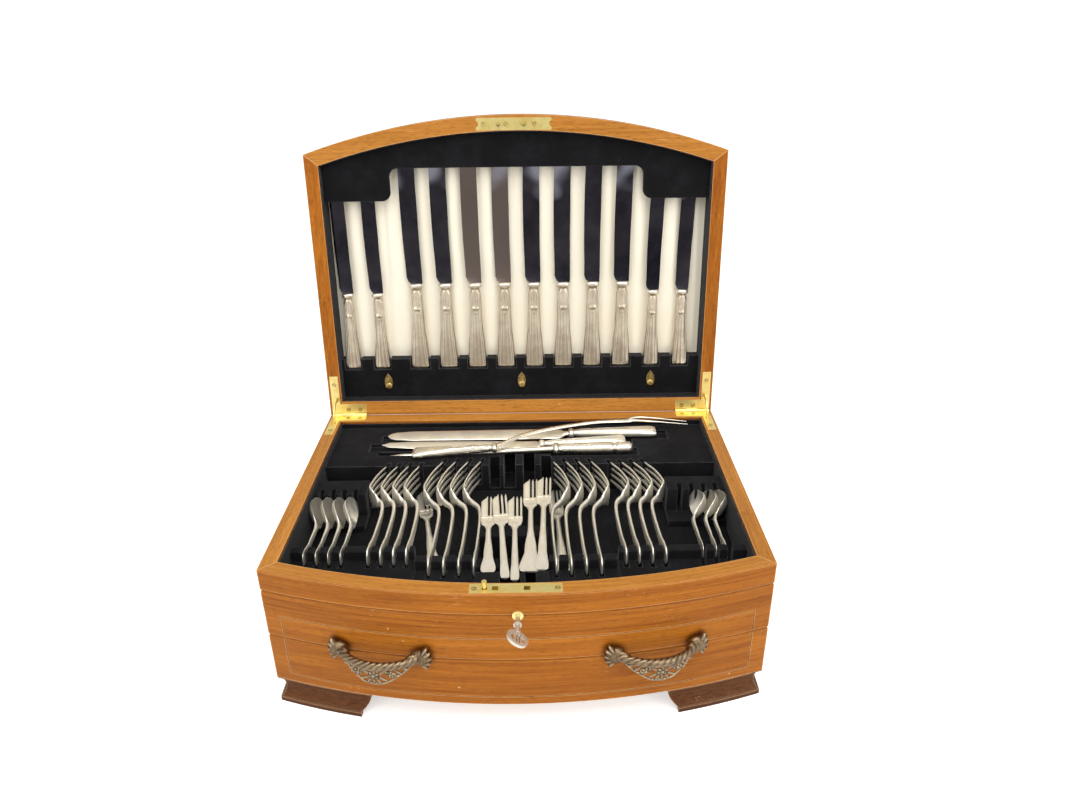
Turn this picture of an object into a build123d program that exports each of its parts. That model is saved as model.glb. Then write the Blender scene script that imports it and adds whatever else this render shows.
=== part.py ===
"""A bow-front silverware chest, open: veneered case with a drawer, hinged lid with quadrant stays, and its cutlery.

Millimetres. +Z is up, the bowed front faces -Y, and the origin is on the floor under the middle of the open chest.
The lid's pieces are drawn shut, on planes that lid_turn then swings open about the hinge pins.
"""

from build123d import *
import os
from math import asin, atan2, cos, degrees, hypot, radians, sin, sqrt

# ---------------------------------------------------------------- driving sizes
case_width = 430.0  # across the straight sides
corner_depth = 283.0  # back face to the front corners
bow_rise = 36.0  # how far the front swells past its corners
back_y = 147.0  # back face; puts the origin under the middle of the open chest
foot_height = 28.0
body_height = 116.0  # underside to rim
lid_height = 34.0
lid_open_angle = 95.0
side_wall, front_wall, back_wall = 14.0, 15.0, 16.0
bottom_panel, tray_panel, lid_panel = 6.0, 4.0, 7.0
top_rail = 44.5  # rim down to the drawer opening
base_rail = 8.0  # under the drawer opening
stile = 14.6  # beside the drawer opening; wider than the sides it is mitred into
groove_depth, groove_drop = 1.6, 2.6
rim_groove, drawer_groove = 19.6, 66.5  # below the rim
running_gap = 0.3  # between pieces that move past each other
joint_gap = 0.6  # around the drawer front
velvet = 1.0

# ---------------------------------------------------------------- places worked out from them
under_z = foot_height
rim_z = foot_height + body_height
corner_y = back_y - corner_depth
front_y = corner_y - bow_rise
bow_radius = (case_width**2 / 4 + bow_rise**2) / (2 * bow_rise)
bow_centre_y = front_y + bow_radius
inner_x = case_width / 2 - side_wall
inner_back_y = back_y - back_wall
opening_top = rim_z - top_rail
opening_bottom = under_z + base_rail
opening_x = case_width / 2 - stile
tray_z = opening_top + tray_panel  # tray floor
lid_top_z = rim_z + running_gap + lid_height
lid_inside_z = lid_top_z - lid_panel
hinge_z = rim_z + running_gap / 2

hinge_axis_point = (0, back_y, hinge_z)
lid_turn = Location(hinge_axis_point, (1, 0, 0), -lid_open_angle) * Location((0, -back_y, -hinge_z))


def bow_y(x, inset=0.0):
    """Depth of the bowed front at x, moved in by inset."""
    return bow_centre_y - sqrt((bow_radius - inset) ** 2 - x**2)


def turned(turn, plane):
    """A plane carried by a turn of the whole space."""
    return Plane(turn * plane.location)


def lid_plane(height):
    """A level plane of the shut lid at a height, swung open with it."""
    return turned(lid_turn, Plane.XY.offset(height))


def save(piece, label):
    """Labels a finished piece and writes it as its own file."""
    piece.part.label = label
    export_step(piece.part, f"parts/{label}.step")


os.makedirs("parts", exist_ok=True)


# ---------------------------------------------------------------- plans shared by several pieces
def outline_plan(side=0.0, front=0.0, back=0.0):
    """The chest's whole plan, moved in from its sides, bowed front and back."""
    x = case_width / 2 - side
    with BuildSketch() as plan:
        with BuildLine():
            ThreePointArc((-x, bow_y(x, front)), (0, front_y + front), (x, bow_y(x, front)))
            Polyline(
                (x, bow_y(x, front)),
                (x, back_y - back),
                (-x, back_y - back),
                (-x, bow_y(x, front)),
            )
        make_face()
    return plan.sketch


def front_plan():
    """The bowed front wall, mitred into both sides."""
    outer_x = case_width / 2
    with BuildSketch() as plan:
        with BuildLine():
            ThreePointArc((-outer_x, corner_y), (0, front_y), (outer_x, corner_y))
            Line((outer_x, corner_y), (inner_x, bow_y(inner_x, front_wall)))
            ThreePointArc(
                (inner_x, bow_y(inner_x, front_wall)),
                (0, front_y + front_wall),
                (-inner_x, bow_y(inner_x, front_wall)),
            )
            Line((-inner_x, bow_y(inner_x, front_wall)), (-outer_x, corner_y))
        make_face()
    return plan.sketch


def side_plan(side):
    """One side wall, -1 left or 1 right, mitred into the front."""
    with BuildSketch() as plan:
        with BuildLine():
            Polyline(
                (side * case_width / 2, back_y),
                (side * case_width / 2, corner_y),
                (side * inner_x, bow_y(inner_x, front_wall)),
                (side * inner_x, back_y),
                close=True,
            )
        make_face()
    return plan.sketch


bow_axis = Axis((0, bow_centre_y, 0), (0, 0, 1))
bow_half_angle = degrees(asin(case_width / 2 / bow_radius)) + 1.0


def bow_section_plane(z):
    """The upright plane, just past the bow's end, that sections are drawn on: X out of the front, Y up."""
    angle = radians(-90 - bow_half_angle)
    out = (cos(angle), sin(angle), 0)
    origin = (bow_radius * out[0], bow_centre_y + bow_radius * out[1], z)
    return Plane(origin=origin, x_dir=out, z_dir=(out[1], -out[0], 0))


def groove_cutter(below_rim):
    """An undercut line with a sloping lower lip, run along the left side, the bow and the right side."""
    z = rim_z - below_rim
    lip = ((0.4, 0), (-groove_depth, 0), (0.4, -groove_drop * 1.25))
    with BuildPart() as cutter:
        with BuildSketch(bow_section_plane(z)):
            with BuildLine():
                Polyline(*lip, close=True)
            make_face()
        revolve(axis=bow_axis, revolution_arc=2 * bow_half_angle)
        for side in (-1, 1):
            across = Plane(origin=(side * case_width / 2, back_y + 1, z), x_dir=(side, 0, 0), z_dir=(0, side, 0))
            with BuildSketch(across):
                with BuildLine():
                    Polyline(*[(out, -up) for out, up in lip], close=True)
                make_face()
            extrude(amount=-side * (back_y + 1 - corner_y + 3))
    return cutter.part


rim_groove_cutter = groove_cutter(rim_groove)
drawer_groove_cutter = groove_cutter(drawer_groove)

# ---------------------------------------------------------------- hinges: sizes
leaf_length = 38.0  # along the back rail
leaf_arm = 46.0  # along the side, from the back face
leaf_width = 13.0
arm_width = 9.0
leaf_thickness = 1.3
leaf_inset = 2.5  # leaf's outer edge in from the side face
knuckle_radius = 2.4
pin_radius = 1.1
knuckle_count = 3
stay_radius, stay_width, stay_thickness = 18.0, 4.0, 1.0
stay_overlap = 9.0  # degrees of each end still in its mortise when open
stay_lug = 0.9  # end stops, wider than the leaf's slot
stay_x = case_width / 2 - 8.0
mortise_play = 0.5
knuckle_play = 0.35
leaf_outer_x = case_width / 2 - leaf_inset
leaf_inner_x = leaf_outer_x - leaf_length
stay_half_angle = lid_open_angle / 2 + stay_overlap


def leaf_plan(side, play=0.0):
    """The L-shaped leaf: along the back rail, then forward along the side rail."""
    with BuildSketch() as plan:
        with BuildLine():
            Polyline(
                (side * (leaf_outer_x + play), back_y),
                (side * (leaf_outer_x + play), back_y - leaf_arm - play),
                (side * (leaf_outer_x - arm_width - play), back_y - leaf_arm - play),
                (side * (leaf_outer_x - arm_width - play), back_y - leaf_width - play),
                (side * (leaf_inner_x - play), back_y - leaf_width - play),
                (side * (leaf_inner_x - play), back_y),
                close=True,
            )
        make_face()
    return plan.sketch


def stay_sector(side, low, high, play=0.0, lug=0.0, turn=Location()):
    """A ring sector about the hinge pin, between two angles above the rim towards the front."""
    outer = stay_radius + stay_width / 2 + play + lug
    inner = stay_radius - stay_width / 2 - play - lug
    thick = stay_thickness + 2 * play
    flat = Plane(origin=(side * stay_x - thick / 2, back_y, hinge_z), x_dir=(0, -1, 0), z_dir=(1, 0, 0))
    plane = turned(turn, flat)

    def at(radius, angle):
        return (radius * cos(radians(angle)), -radius * sin(radians(angle)))

    middle = (low + high) / 2
    with BuildPart() as sector:
        with BuildSketch(plane):
            with BuildLine():
                ThreePointArc(at(outer, low), at(outer, middle), at(outer, high))
                Line(at(outer, high), at(inner, high))
                ThreePointArc(at(inner, high), at(inner, middle), at(inner, low))
                Line(at(inner, low), at(outer, low))
            make_face()
        extrude(amount=thick)
    return sector.part


def knuckle_relief(side):
    """Room for a knuckle in the edges of the back rail."""
    with BuildPart() as relief:
        with BuildSketch(Plane.YZ.offset(min(side * leaf_inner_x, side * leaf_outer_x) - knuckle_play)):
            with Locations((back_y, hinge_z)):
                Circle(knuckle_radius + knuckle_play)
        extrude(amount=leaf_length + 2 * knuckle_play)
    return relief.part


# ---------------------------------------------------------------- lock: sizes
lock_plate_length, lock_plate_width, brass_sheet = 74.0, 11.5, 1.5
lock_x = -0.5
lock_y = front_y + front_wall - lock_plate_width / 2 - 0.5  # plates end at the rim's inner edge
strike_length, strike_x = 75.0, -1.5
stud_x = (-17.0, 8.5)
stud_hole = 5.0
stud_neck, stud_head = 1.15, 2.05
stud_length = 8.5
pin_x = -25.5  # the interlock pin
interlock_radius = 1.5
interlock_head = 2.1
interlock_travel = 7.0
lock_case_length, lock_case_width, lock_case_depth = 60.0, 8.6, 28.0
bolt_travel = 4.6
keyhole_x = 0.8
keyhole_z = rim_z - rim_groove - 0.4
key_radius = 1.9
bush_radius = 4.6

# ================================================================ case
with BuildPart() as drawer_opening:
    with BuildSketch(Plane.XZ.offset(-front_y + 1)):
        with Locations((0, (opening_top + opening_bottom) / 2)):
            Rectangle(2 * opening_x, opening_top - opening_bottom)
    extrude(amount=-(bow_rise + front_wall + 8))

with BuildPart() as front_frame:
    with BuildSketch(Plane.XY.offset(under_z)):
        add(front_plan())
    extrude(amount=body_height)
    add(drawer_opening.part, mode=Mode.SUBTRACT)
    add(rim_groove_cutter, mode=Mode.SUBTRACT)
    add(drawer_groove_cutter, mode=Mode.SUBTRACT)
    # lock mortise, its cover plate, and the keyhole through to it
    with BuildSketch(Plane.XY.offset(rim_z)):
        with Locations((lock_x, lock_y)):
            Rectangle(lock_plate_length, lock_plate_width)
    extrude(amount=-brass_sheet, mode=Mode.SUBTRACT)
    with BuildSketch(Plane.XY.offset(rim_z)):
        with Locations((lock_x, lock_y)):
            Rectangle(lock_case_length, lock_case_width)
    extrude(amount=-lock_case_depth, mode=Mode.SUBTRACT)
    with BuildSketch(Plane.XZ.offset(-front_y + 1)):
        with Locations((keyhole_x, keyhole_z)):
            Circle(bush_radius)
    extrude(amount=-(lock_y - front_y + 1), mode=Mode.SUBTRACT)
    # way for the interlock pin, down to the drawer
    with BuildSketch(Plane.XY.offset(rim_z)):
        with Locations((pin_x, lock_y)):
            Circle(interlock_head + 0.5)
    extrude(amount=-top_rail, mode=Mode.SUBTRACT)
    bows = front_frame.edges().filter_by(GeomType.CIRCLE).filter_by(lambda e: e.radius > bow_radius - 0.1)
    chamfer(bows.group_by(Axis.Z)[-1], 0.8)
save(front_frame, "front_frame")


def case_side(side):
    """A side wall with the running grooves, and mortises for the hinge leaf and the quadrant stay."""
    with BuildPart() as board:
        with BuildSketch(Plane.XY.offset(under_z)):
            add(side_plan(side))
        extrude(amount=body_height)
        add(rim_groove_cutter, mode=Mode.SUBTRACT)
        add(drawer_groove_cutter, mode=Mode.SUBTRACT)
        with BuildSketch(Plane.XY.offset(rim_z)):
            add(leaf_plan(side))
        extrude(amount=-leaf_thickness, mode=Mode.SUBTRACT)
        add(stay_sector(side, -stay_half_angle - 4, 20, mortise_play, stay_lug), mode=Mode.SUBTRACT)
        add(knuckle_relief(side), mode=Mode.SUBTRACT)
        return board


side_left = case_side(-1)
side_right = case_side(1)
save(side_left, "side_left")
save(side_right, "side_right")

with BuildPart() as back_board:
    with BuildSketch(Plane.XY.offset(under_z)):
        with Locations((0, back_y - back_wall / 2)):
            Rectangle(2 * inner_x, back_wall)
    extrude(amount=body_height)
    for side in (-1, 1):
        with BuildSketch(Plane.XY.offset(rim_z)):
            add(leaf_plan(side))
        extrude(amount=-leaf_thickness, mode=Mode.SUBTRACT)
        add(knuckle_relief(side), mode=Mode.SUBTRACT)
save(back_board, "back_board")

with BuildPart() as bottom_board:
    with BuildSketch(Plane.XY.offset(under_z)):
        add(outline_plan(side_wall, front_wall, back_wall))
    extrude(amount=bottom_panel)
save(bottom_board, "bottom_board")

with BuildPart() as tray_floor:
    with BuildSketch(Plane.XY.offset(opening_top)):
        add(outline_plan(side_wall, front_wall, back_wall))
    extrude(amount=tray_panel)
    with BuildSketch(Plane.XY.offset(opening_top)):
        with Locations((pin_x, lock_y)):
            Circle(interlock_head + 0.5)
    extrude(amount=tray_panel, mode=Mode.SUBTRACT)
save(tray_floor, "tray_floor")

# ---------------------------------------------------------------- feet
foot_length_top, foot_length_bottom = 86.0, 76.0  # along the front and back, from the corner
foot_return = 58.0  # along the side
foot_wall = 13.0
foot_bead = 4.5
foot_hollow = 7.5  # depth of the cavetto


def cavetto(plane, up):
    """The foot's hollow face as a cutter section, X out of the face: a flat bead, hollowed up to the case."""
    with BuildSketch(plane) as section:
        with BuildLine():
            Line((1, up * foot_bead), (-1.2, up * foot_bead))
            ThreePointArc(
                (-1.2, up * foot_bead),
                (-foot_hollow * 0.72, up * (foot_bead + (foot_height - foot_bead) * 0.40)),
                (-0.6, up * (foot_height - 1.2)),
            )
            Line((-0.6, up * (foot_height - 1.2)), (1, up * (foot_height - 1.2)))
            Line((1, up * (foot_height - 1.2)), (1, up * foot_bead))
        make_face()
    return section.sketch


def side_hollow(side):
    """The hollow along a side's feet, run past the front corner."""
    plane = Plane(origin=(side * case_width / 2, back_y + 1, 0), x_dir=(side, 0, 0), z_dir=(0, side, 0))
    with BuildPart() as hollow:
        extrude(cavetto(plane, -1), amount=back_y + 1 - corner_y + 12, dir=(0, -1, 0))
    return hollow.part


with BuildPart() as bow_hollow:
    revolve(cavetto(bow_section_plane(0), 1), axis=bow_axis, revolution_arc=2 * bow_half_angle)


def front_foot(side):
    """A bracket foot under a front corner: it follows the bow and returns along the side."""
    outer_x = side * case_width / 2
    corner = (outer_x, corner_y, 0)
    end_x = outer_x - side * foot_length_top
    with BuildPart() as foot:
        with BuildSketch():
            with BuildLine():
                inner_end = (end_x, bow_y(end_x, foot_wall))
                inner_corner = (outer_x - side * foot_wall, bow_y(outer_x - side * foot_wall, foot_wall))
                middle_x = outer_x - side * foot_length_top / 2
                ThreePointArc(corner[:2], (middle_x, bow_y(middle_x)), (end_x, bow_y(end_x)))
                Line((end_x, bow_y(end_x)), inner_end)
                ThreePointArc(inner_end, (middle_x, bow_y(middle_x, foot_wall)), inner_corner)
                Polyline(
                    inner_corner,
                    (inner_corner[0], corner_y + foot_return),
                    (outer_x, corner_y + foot_return),
                    corner[:2],
                )
            make_face()
        extrude(amount=foot_height)
        add(side_hollow(side), mode=Mode.SUBTRACT)
        add(bow_hollow.part, mode=Mode.SUBTRACT)
        # the bracket's end narrows to the floor in a hollow
        with BuildSketch(Plane.XZ.offset(-front_y + 1)):
            rise = foot_length_top - foot_length_bottom
            with BuildLine():
                Line((end_x, -1), (end_x + side * rise, -1))
                Line((end_x + side * rise, -1), (end_x + side * rise, foot_bead))
                RadiusArc(
                    (end_x + side * rise, foot_bead),
                    (end_x, foot_height),
                    side * foot_height * 0.9,
                )
                Polyline((end_x, foot_height), (end_x - side * 2, foot_height), (end_x - side * 2, -1), (end_x, -1))
            make_face()
        extrude(amount=-(bow_rise + foot_return), mode=Mode.SUBTRACT)
    return foot


def rear_foot(side):
    """A bracket foot under a back corner, plain at the back."""
    outer_x = side * case_width / 2
    with BuildPart() as foot:
        with BuildSketch():
            with BuildLine():
                Polyline(
                    (outer_x, back_y),
                    (outer_x, back_y - foot_return),
                    (outer_x - side * foot_wall, back_y - foot_return),
                    (outer_x - side * foot_wall, back_y - foot_wall),
                    (outer_x - side * foot_length_top, back_y - foot_wall),
                    (outer_x - side * foot_length_top, back_y),
                    close=True,
                )
            make_face()
        extrude(amount=foot_height)
        add(side_hollow(side), mode=Mode.SUBTRACT)
    return foot


for side, hand in ((-1, "left"), (1, "right")):
    save(front_foot(side), f"foot_front_{hand}")
    save(rear_foot(side), f"foot_rear_{hand}")

# ================================================================ drawer
drawer_side, drawer_back_wall, drawer_base = 7.0, 7.0, 3.0
drawer_depth = 236.0  # from the front's inner face at the corners to the drawer's back
drawer_side_height = 50.0
runner_height = 1.9  # strip on the bottom board under each drawer side
drawer_play = 1.3  # beside the drawer sides
front_half = opening_x - joint_gap
drawer_z = under_z + bottom_panel + runner_height + running_gap
drawer_front_bottom = opening_bottom + joint_gap
drawer_front_top = opening_top - joint_gap
drawer_outer_x = inner_x - drawer_play
drawer_inner_x = drawer_outer_x - drawer_side
drawer_rear_y = corner_y + front_wall + drawer_depth

with BuildPart() as drawer_runners:
    with BuildSketch(Plane.XY.offset(under_z + bottom_panel)):
        for side in (-1, 1):
            with Locations((side * (drawer_outer_x - 5), (corner_y + front_wall + inner_back_y) / 2 + 6)):
                Rectangle(10, inner_back_y - corner_y - front_wall - 14)
    extrude(amount=runner_height)
    # stops behind the drawer
    with BuildSketch(Plane.XY.offset(under_z + bottom_panel)):
        for side in (-1, 1):
            with Locations((side * (inner_x - 60), drawer_rear_y + running_gap + 5)):
                Rectangle(30, 10)
    extrude(amount=14)
save(drawer_runners, "drawer_runners")

pull_x = 114.0
pull_z = rim_z - drawer_groove + 4
pull_span = 70.0  # between its two bolts


def on_bow(x, z, out=0.0):
    """A plane on the bowed front at x: its X runs across the front, its Z points out of it."""
    lean = asin(x / bow_radius)
    normal = (sin(lean), -cos(lean), 0)
    point = (x + out * normal[0], bow_y(x) + out * normal[1], z)
    return Plane(origin=point, x_dir=(cos(lean), sin(lean), 0), z_dir=normal)


with BuildPart() as drawer_front:
    with BuildSketch(Plane.XY.offset(drawer_front_bottom)):
        with BuildLine():
            ThreePointArc((-front_half, bow_y(front_half)), (0, front_y), (front_half, bow_y(front_half)))
            Line((front_half, bow_y(front_half)), (front_half, bow_y(front_half, front_wall)))
            ThreePointArc(
                (front_half, bow_y(front_half, front_wall)),
                (0, front_y + front_wall),
                (-front_half, bow_y(front_half, front_wall)),
            )
            Line((-front_half, bow_y(front_half, front_wall)), (-front_half, bow_y(front_half)))
        make_face()
    extrude(amount=drawer_front_top - drawer_front_bottom)
    add(drawer_groove_cutter, mode=Mode.SUBTRACT)
    # socket for the interlock pin
    with BuildSketch(Plane.XY.offset(drawer_front_top)):
        with Locations((pin_x, lock_y)):
            Circle(interlock_radius + 1)
    extrude(amount=-(interlock_travel + 3), mode=Mode.SUBTRACT)
save(drawer_front, "drawer_front")


with BuildPart() as drawer_sides:
    for x0, x1 in ((-drawer_outer_x, -drawer_inner_x), (drawer_outer_x, drawer_inner_x)):
        with BuildSketch(Plane.XY.offset(drawer_z)):
            with BuildLine():
                Polyline(
                    (x0, bow_y(x0, front_wall)),
                    (x0, drawer_rear_y),
                    (x1, drawer_rear_y),
                    (x1, bow_y(x1, front_wall)),
                )
                ThreePointArc(
                    (x1, bow_y(x1, front_wall)),
                    ((x0 + x1) / 2, bow_y((x0 + x1) / 2, front_wall)),
                    (x0, bow_y(x0, front_wall)),
                )
            make_face()
        extrude(amount=drawer_side_height)
save(drawer_sides, "drawer_sides")

with BuildPart() as drawer_back:
    with BuildSketch(Plane.XY.offset(drawer_z + drawer_base)):
        with Locations((0, drawer_rear_y - drawer_back_wall / 2)):
            Rectangle(2 * drawer_inner_x, drawer_back_wall)
    extrude(amount=drawer_side_height - drawer_base - 3)
save(drawer_back, "drawer_back")


def drawer_floor_plan(rear_y):
    """Plan between the drawer sides, from the bowed front's inner face to rear_y."""
    with BuildSketch() as plan:
        with BuildLine():
            y = bow_y(drawer_inner_x, front_wall)
            ThreePointArc((-drawer_inner_x, y), (0, front_y + front_wall), (drawer_inner_x, y))
            Polyline(
                (drawer_inner_x, y),
                (drawer_inner_x, rear_y),
                (-drawer_inner_x, rear_y),
                (-drawer_inner_x, y),
            )
        make_face()
    return plan.sketch


with BuildPart() as drawer_bottom:
    with BuildSketch(Plane.XY.offset(drawer_z)):
        add(drawer_floor_plan(drawer_rear_y))
    extrude(amount=drawer_base)
save(drawer_bottom, "drawer_bottom")

with BuildPart() as drawer_lining:
    with BuildSketch(Plane.XY.offset(drawer_z + drawer_base)):
        add(drawer_floor_plan(drawer_rear_y - drawer_back_wall))
    extrude(amount=velvet)
save(drawer_lining, "drawer_lining")

# ---------------------------------------------------------------- cast pulls
pull_stand = 20.0  # grip's centre out from the front
grip_width, grip_depth = 6.5, 7.0
apron_drop = 17.0
apron_thickness = 2.2
paw_length, paw_height, paw_depth = 19.0, 15.0, 7.0


with BuildPart() as bow_body:
    with BuildSketch(Plane.XY.offset(under_z)):
        with Locations((0, bow_centre_y)):
            Circle(bow_radius)
    extrude(amount=body_height)


def apron_plan():
    """The pull's pierced apron seen from the front: hung leaves either side of a middle shell."""
    leaf = ((0, 3), (11, 2), (15.5, -3), (13.5, -8), (8, -7.5), (5, -11.5), (0, -15.5))
    eye = ((5.5, -2.5), (11.5, -2.5), (10, -5.5), (6, -5))
    with BuildSketch() as plan:
        for hand in (-1, 1):
            with BuildLine():
                Polyline(*[(hand * 1.9 * x, y) for x, y in leaf], close=True)
            make_face()
            with BuildLine():
                Polyline(*[(hand * 1.9 * x, y) for x, y in eye], close=True)
            make_face(mode=Mode.SUBTRACT)
    return plan.sketch


grip_radius = (pull_span**2 / 4 + (pull_stand - 3) ** 2) / (2 * (pull_stand - 3))  # of the arched grip in plan
grip_half_angle = degrees(asin(pull_span / 2 / grip_radius))


def grip_arc(face, section):
    """A section, as (outward, up) corners, carried round the grip's arc."""
    centre = face.origin + face.z_dir * (pull_stand - grip_radius)
    turn = radians(grip_half_angle)
    out = face.z_dir * cos(turn) - face.x_dir * sin(turn)
    start = Plane(origin=centre, x_dir=out, z_dir=out.cross(Vector(0, 0, 1)))
    with BuildPart() as band:
        with BuildSketch(start):
            with BuildLine():
                Polyline(*[(grip_radius + x, z) for x, z in section], close=True)
            make_face()
        revolve(axis=Axis(centre, (0, 0, 1)), revolution_arc=2 * grip_half_angle)
    return band.part


def cast_pull(side):
    """A cast pull: a paw at each end, an arched grip between them and a pierced apron hung under it."""
    face = on_bow(side * pull_x, pull_z)
    half = pull_span / 2
    with BuildPart() as apron:
        thin = apron_thickness / 2
        add(grip_arc(face, ((-thin, -apron_drop), (thin, -apron_drop), (thin, -1), (-thin, -1))))
        with BuildSketch(face):
            add(apron_plan())
        extrude(amount=pull_stand + 8, mode=Mode.INTERSECT)
    with BuildPart() as pull:
        for end in (-1, 1):
            with BuildSketch(face.offset(-2)):
                with Locations((end * half, -1)):
                    RectangleRounded(paw_length, paw_height, 5)
            extrude(amount=paw_depth + 1, taper=14)
        wide, high = grip_width / 2, grip_depth / 2
        add(
            grip_arc(
                face, ((-wide, 0), (-wide * 0.5, -high), (wide * 0.5, -high), (wide, 0), (wide * 0.5, high), (-wide * 0.5, high))
            )
        )
        add(apron.part)
        add(bow_body.part, mode=Mode.SUBTRACT)
    return pull.part

with BuildPart() as cast_pulls:
    for side in (-1, 1):
        add(cast_pull(side))
save(cast_pulls, "cast_pulls")

# ================================================================ hinges
knuckle_pitch = leaf_length / knuckle_count


def knuckle_span(side, index, gap=0.0):
    """Where one knuckle starts along X, with a gap kept at each end, and how long it is."""
    low = side * leaf_inner_x if side > 0 else side * leaf_outer_x
    return low + index * knuckle_pitch + gap, knuckle_pitch - 2 * gap


def barrel(side, indexes, radius, gap, turn=Location()):
    """Cylinders about the hinge pin at the chosen knuckles."""
    with BuildPart() as piece:
        for index in indexes:
            start, length = knuckle_span(side, index, gap)
            with BuildSketch(turned(turn, Plane.YZ.offset(start))):
                with Locations((back_y, hinge_z)):
                    Circle(radius)
            extrude(amount=length)
    return piece.part


def hinge_leaf(side, own, other, bore, turn, low_z, mortise):
    """One leaf of a quadrant hinge with its own knuckles, relieved round the other leaf's."""
    with BuildPart() as leaf:
        with BuildSketch(turned(turn, Plane.XY.offset(low_z))):
            add(leaf_plan(side))
        extrude(amount=leaf_thickness)
        add(barrel(side, other, knuckle_radius + knuckle_play, -0.02, turn), mode=Mode.SUBTRACT)
        add(barrel(side, own, knuckle_radius, 0.08, turn))
        if bore:
            add(barrel(side, range(-1, knuckle_count + 1), bore, 0), mode=Mode.SUBTRACT)
        add(stay_sector(side, *mortise, 0.3, turn=turn), mode=Mode.SUBTRACT)
    return leaf.part


case_knuckles, lid_knuckles = (0, 2), (1,)
with BuildPart() as case_hinge_leaves:
    for side in (-1, 1):
        add(hinge_leaf(side, case_knuckles, lid_knuckles, None, Location(), rim_z - leaf_thickness, (-20, 20)))
        add(barrel(side, lid_knuckles, pin_radius, -0.5))  # the pin, fast in the case's knuckles
save(case_hinge_leaves, "case_hinge_leaves")

def quadrant_link(side):
    """The curved stay, drawn with the lid open: an end in each mortise, each with a stop lug."""
    low, high = -stay_overlap, lid_open_angle + stay_overlap
    with BuildPart() as link:
        add(stay_sector(side, low, high))
        add(stay_sector(side, low, low + 3.6, lug=stay_lug))
        add(stay_sector(side, high - 3.6, high, lug=stay_lug))
    return link


for side, hand in ((-1, "left"), (1, "right")):
    save(quadrant_link(side), f"quadrant_link_{hand}")

# ================================================================ lock
bolt_top, bolt_thickness = rim_z - brass_sheet - 0.2, 2.0
bolt_width = 6.0
cavity_width = 6.6
bit_radius = 5.0

with BuildPart() as lock_plate:
    with BuildSketch(Plane.XY.offset(rim_z)):
        with Locations((lock_x, lock_y)):
            Rectangle(lock_plate_length, lock_plate_width)
        with Locations(*[(x, lock_y) for x in stud_x]):
            Rectangle(stud_hole, stud_hole, mode=Mode.SUBTRACT)
        with Locations((pin_x, lock_y)):
            Circle(interlock_head + 0.15, mode=Mode.SUBTRACT)
    extrude(amount=-brass_sheet)
save(lock_plate, "lock_plate")

with BuildPart() as lock_case:
    with BuildSketch(Plane.XY.offset(rim_z - brass_sheet)):
        with Locations((lock_x, lock_y)):
            Rectangle(lock_case_length, lock_case_width)
    extrude(amount=-(lock_case_depth - brass_sheet))
    # the bolt's channel, open under the plate, and the room for the studs and the key's bit
    with BuildSketch(Plane.XY.offset(rim_z - brass_sheet)):
        with Locations(((stud_x[0] + stud_x[1]) / 2 + bolt_travel / 2, lock_y)):
            Rectangle(stud_x[1] - stud_x[0] + 17 + bolt_travel, cavity_width)
    extrude(amount=-(bolt_thickness + 0.4), mode=Mode.SUBTRACT)
    with BuildSketch(Plane.XY.offset(rim_z - brass_sheet)):
        with Locations(*[(x, lock_y) for x in stud_x]):
            Rectangle(stud_hole + 0.6, stud_hole + 0.6)
        with Locations((keyhole_x, lock_y)):
            Rectangle(2 * bit_radius + 2, cavity_width)
    extrude(amount=-8.5, mode=Mode.SUBTRACT)
    with BuildSketch(Plane.XZ.offset(-(lock_y - cavity_width / 2))):
        with Locations((keyhole_x, keyhole_z + 3)):
            Rectangle(2 * bit_radius + 1.6, 2 * bit_radius + 7.6)
    extrude(amount=-cavity_width, mode=Mode.SUBTRACT)
    with BuildSketch(Plane.XZ.offset(-(lock_y - lock_case_width / 2))):
        with Locations((keyhole_x, keyhole_z)):
            Circle(key_radius + 0.3)
    extrude(amount=-3, mode=Mode.SUBTRACT)
    # bore for the interlock pin
    with BuildSketch(Plane.XY.offset(rim_z)):
        with Locations((pin_x, lock_y)):
            Circle(interlock_head + 0.15)
    extrude(amount=-14, mode=Mode.SUBTRACT)
    with BuildSketch(Plane.XY.offset(rim_z)):
        with Locations((pin_x, lock_y)):
            Circle(interlock_radius + 0.05)
    extrude(amount=-lock_case_depth, mode=Mode.SUBTRACT)
save(lock_case, "lock_case")

with BuildPart() as lock_bolt:
    with BuildSketch(Plane.XY.offset(bolt_top)):
        with Locations(((stud_x[0] + stud_x[1] + 2) / 2, lock_y)):
            Rectangle(stud_x[1] - stud_x[0] + 14, bolt_width)
        for x in stud_x:
            with Locations((x, lock_y)):
                Rectangle(stud_hole, stud_hole, mode=Mode.SUBTRACT)
            with Locations((x - bolt_travel / 2 - 0.8, lock_y)):
                Rectangle(bolt_travel + 1.6, 2 * stud_neck + 0.6, mode=Mode.SUBTRACT)
    extrude(amount=-bolt_thickness)
    # talon towards the key
    with BuildSketch(Plane.XY.offset(bolt_top - bolt_thickness)):
        with Locations((keyhole_x - 3.0, lock_y)):
            Rectangle(3.0, bolt_width - 1)
    extrude(amount=-8.2)
save(lock_bolt, "lock_bolt")

with BuildPart() as keyhole_bush:
    face_y = bow_y(keyhole_x)
    with BuildSketch(Plane.XZ.offset(-(face_y - 1.2))):
        with Locations((keyhole_x, keyhole_z)):
            Circle(bush_radius)
            Circle(key_radius + 0.08, mode=Mode.SUBTRACT)
    extrude(amount=-(lock_y - lock_case_width / 2 - face_y + 1.2))
save(keyhole_bush, "keyhole_bush")

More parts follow.
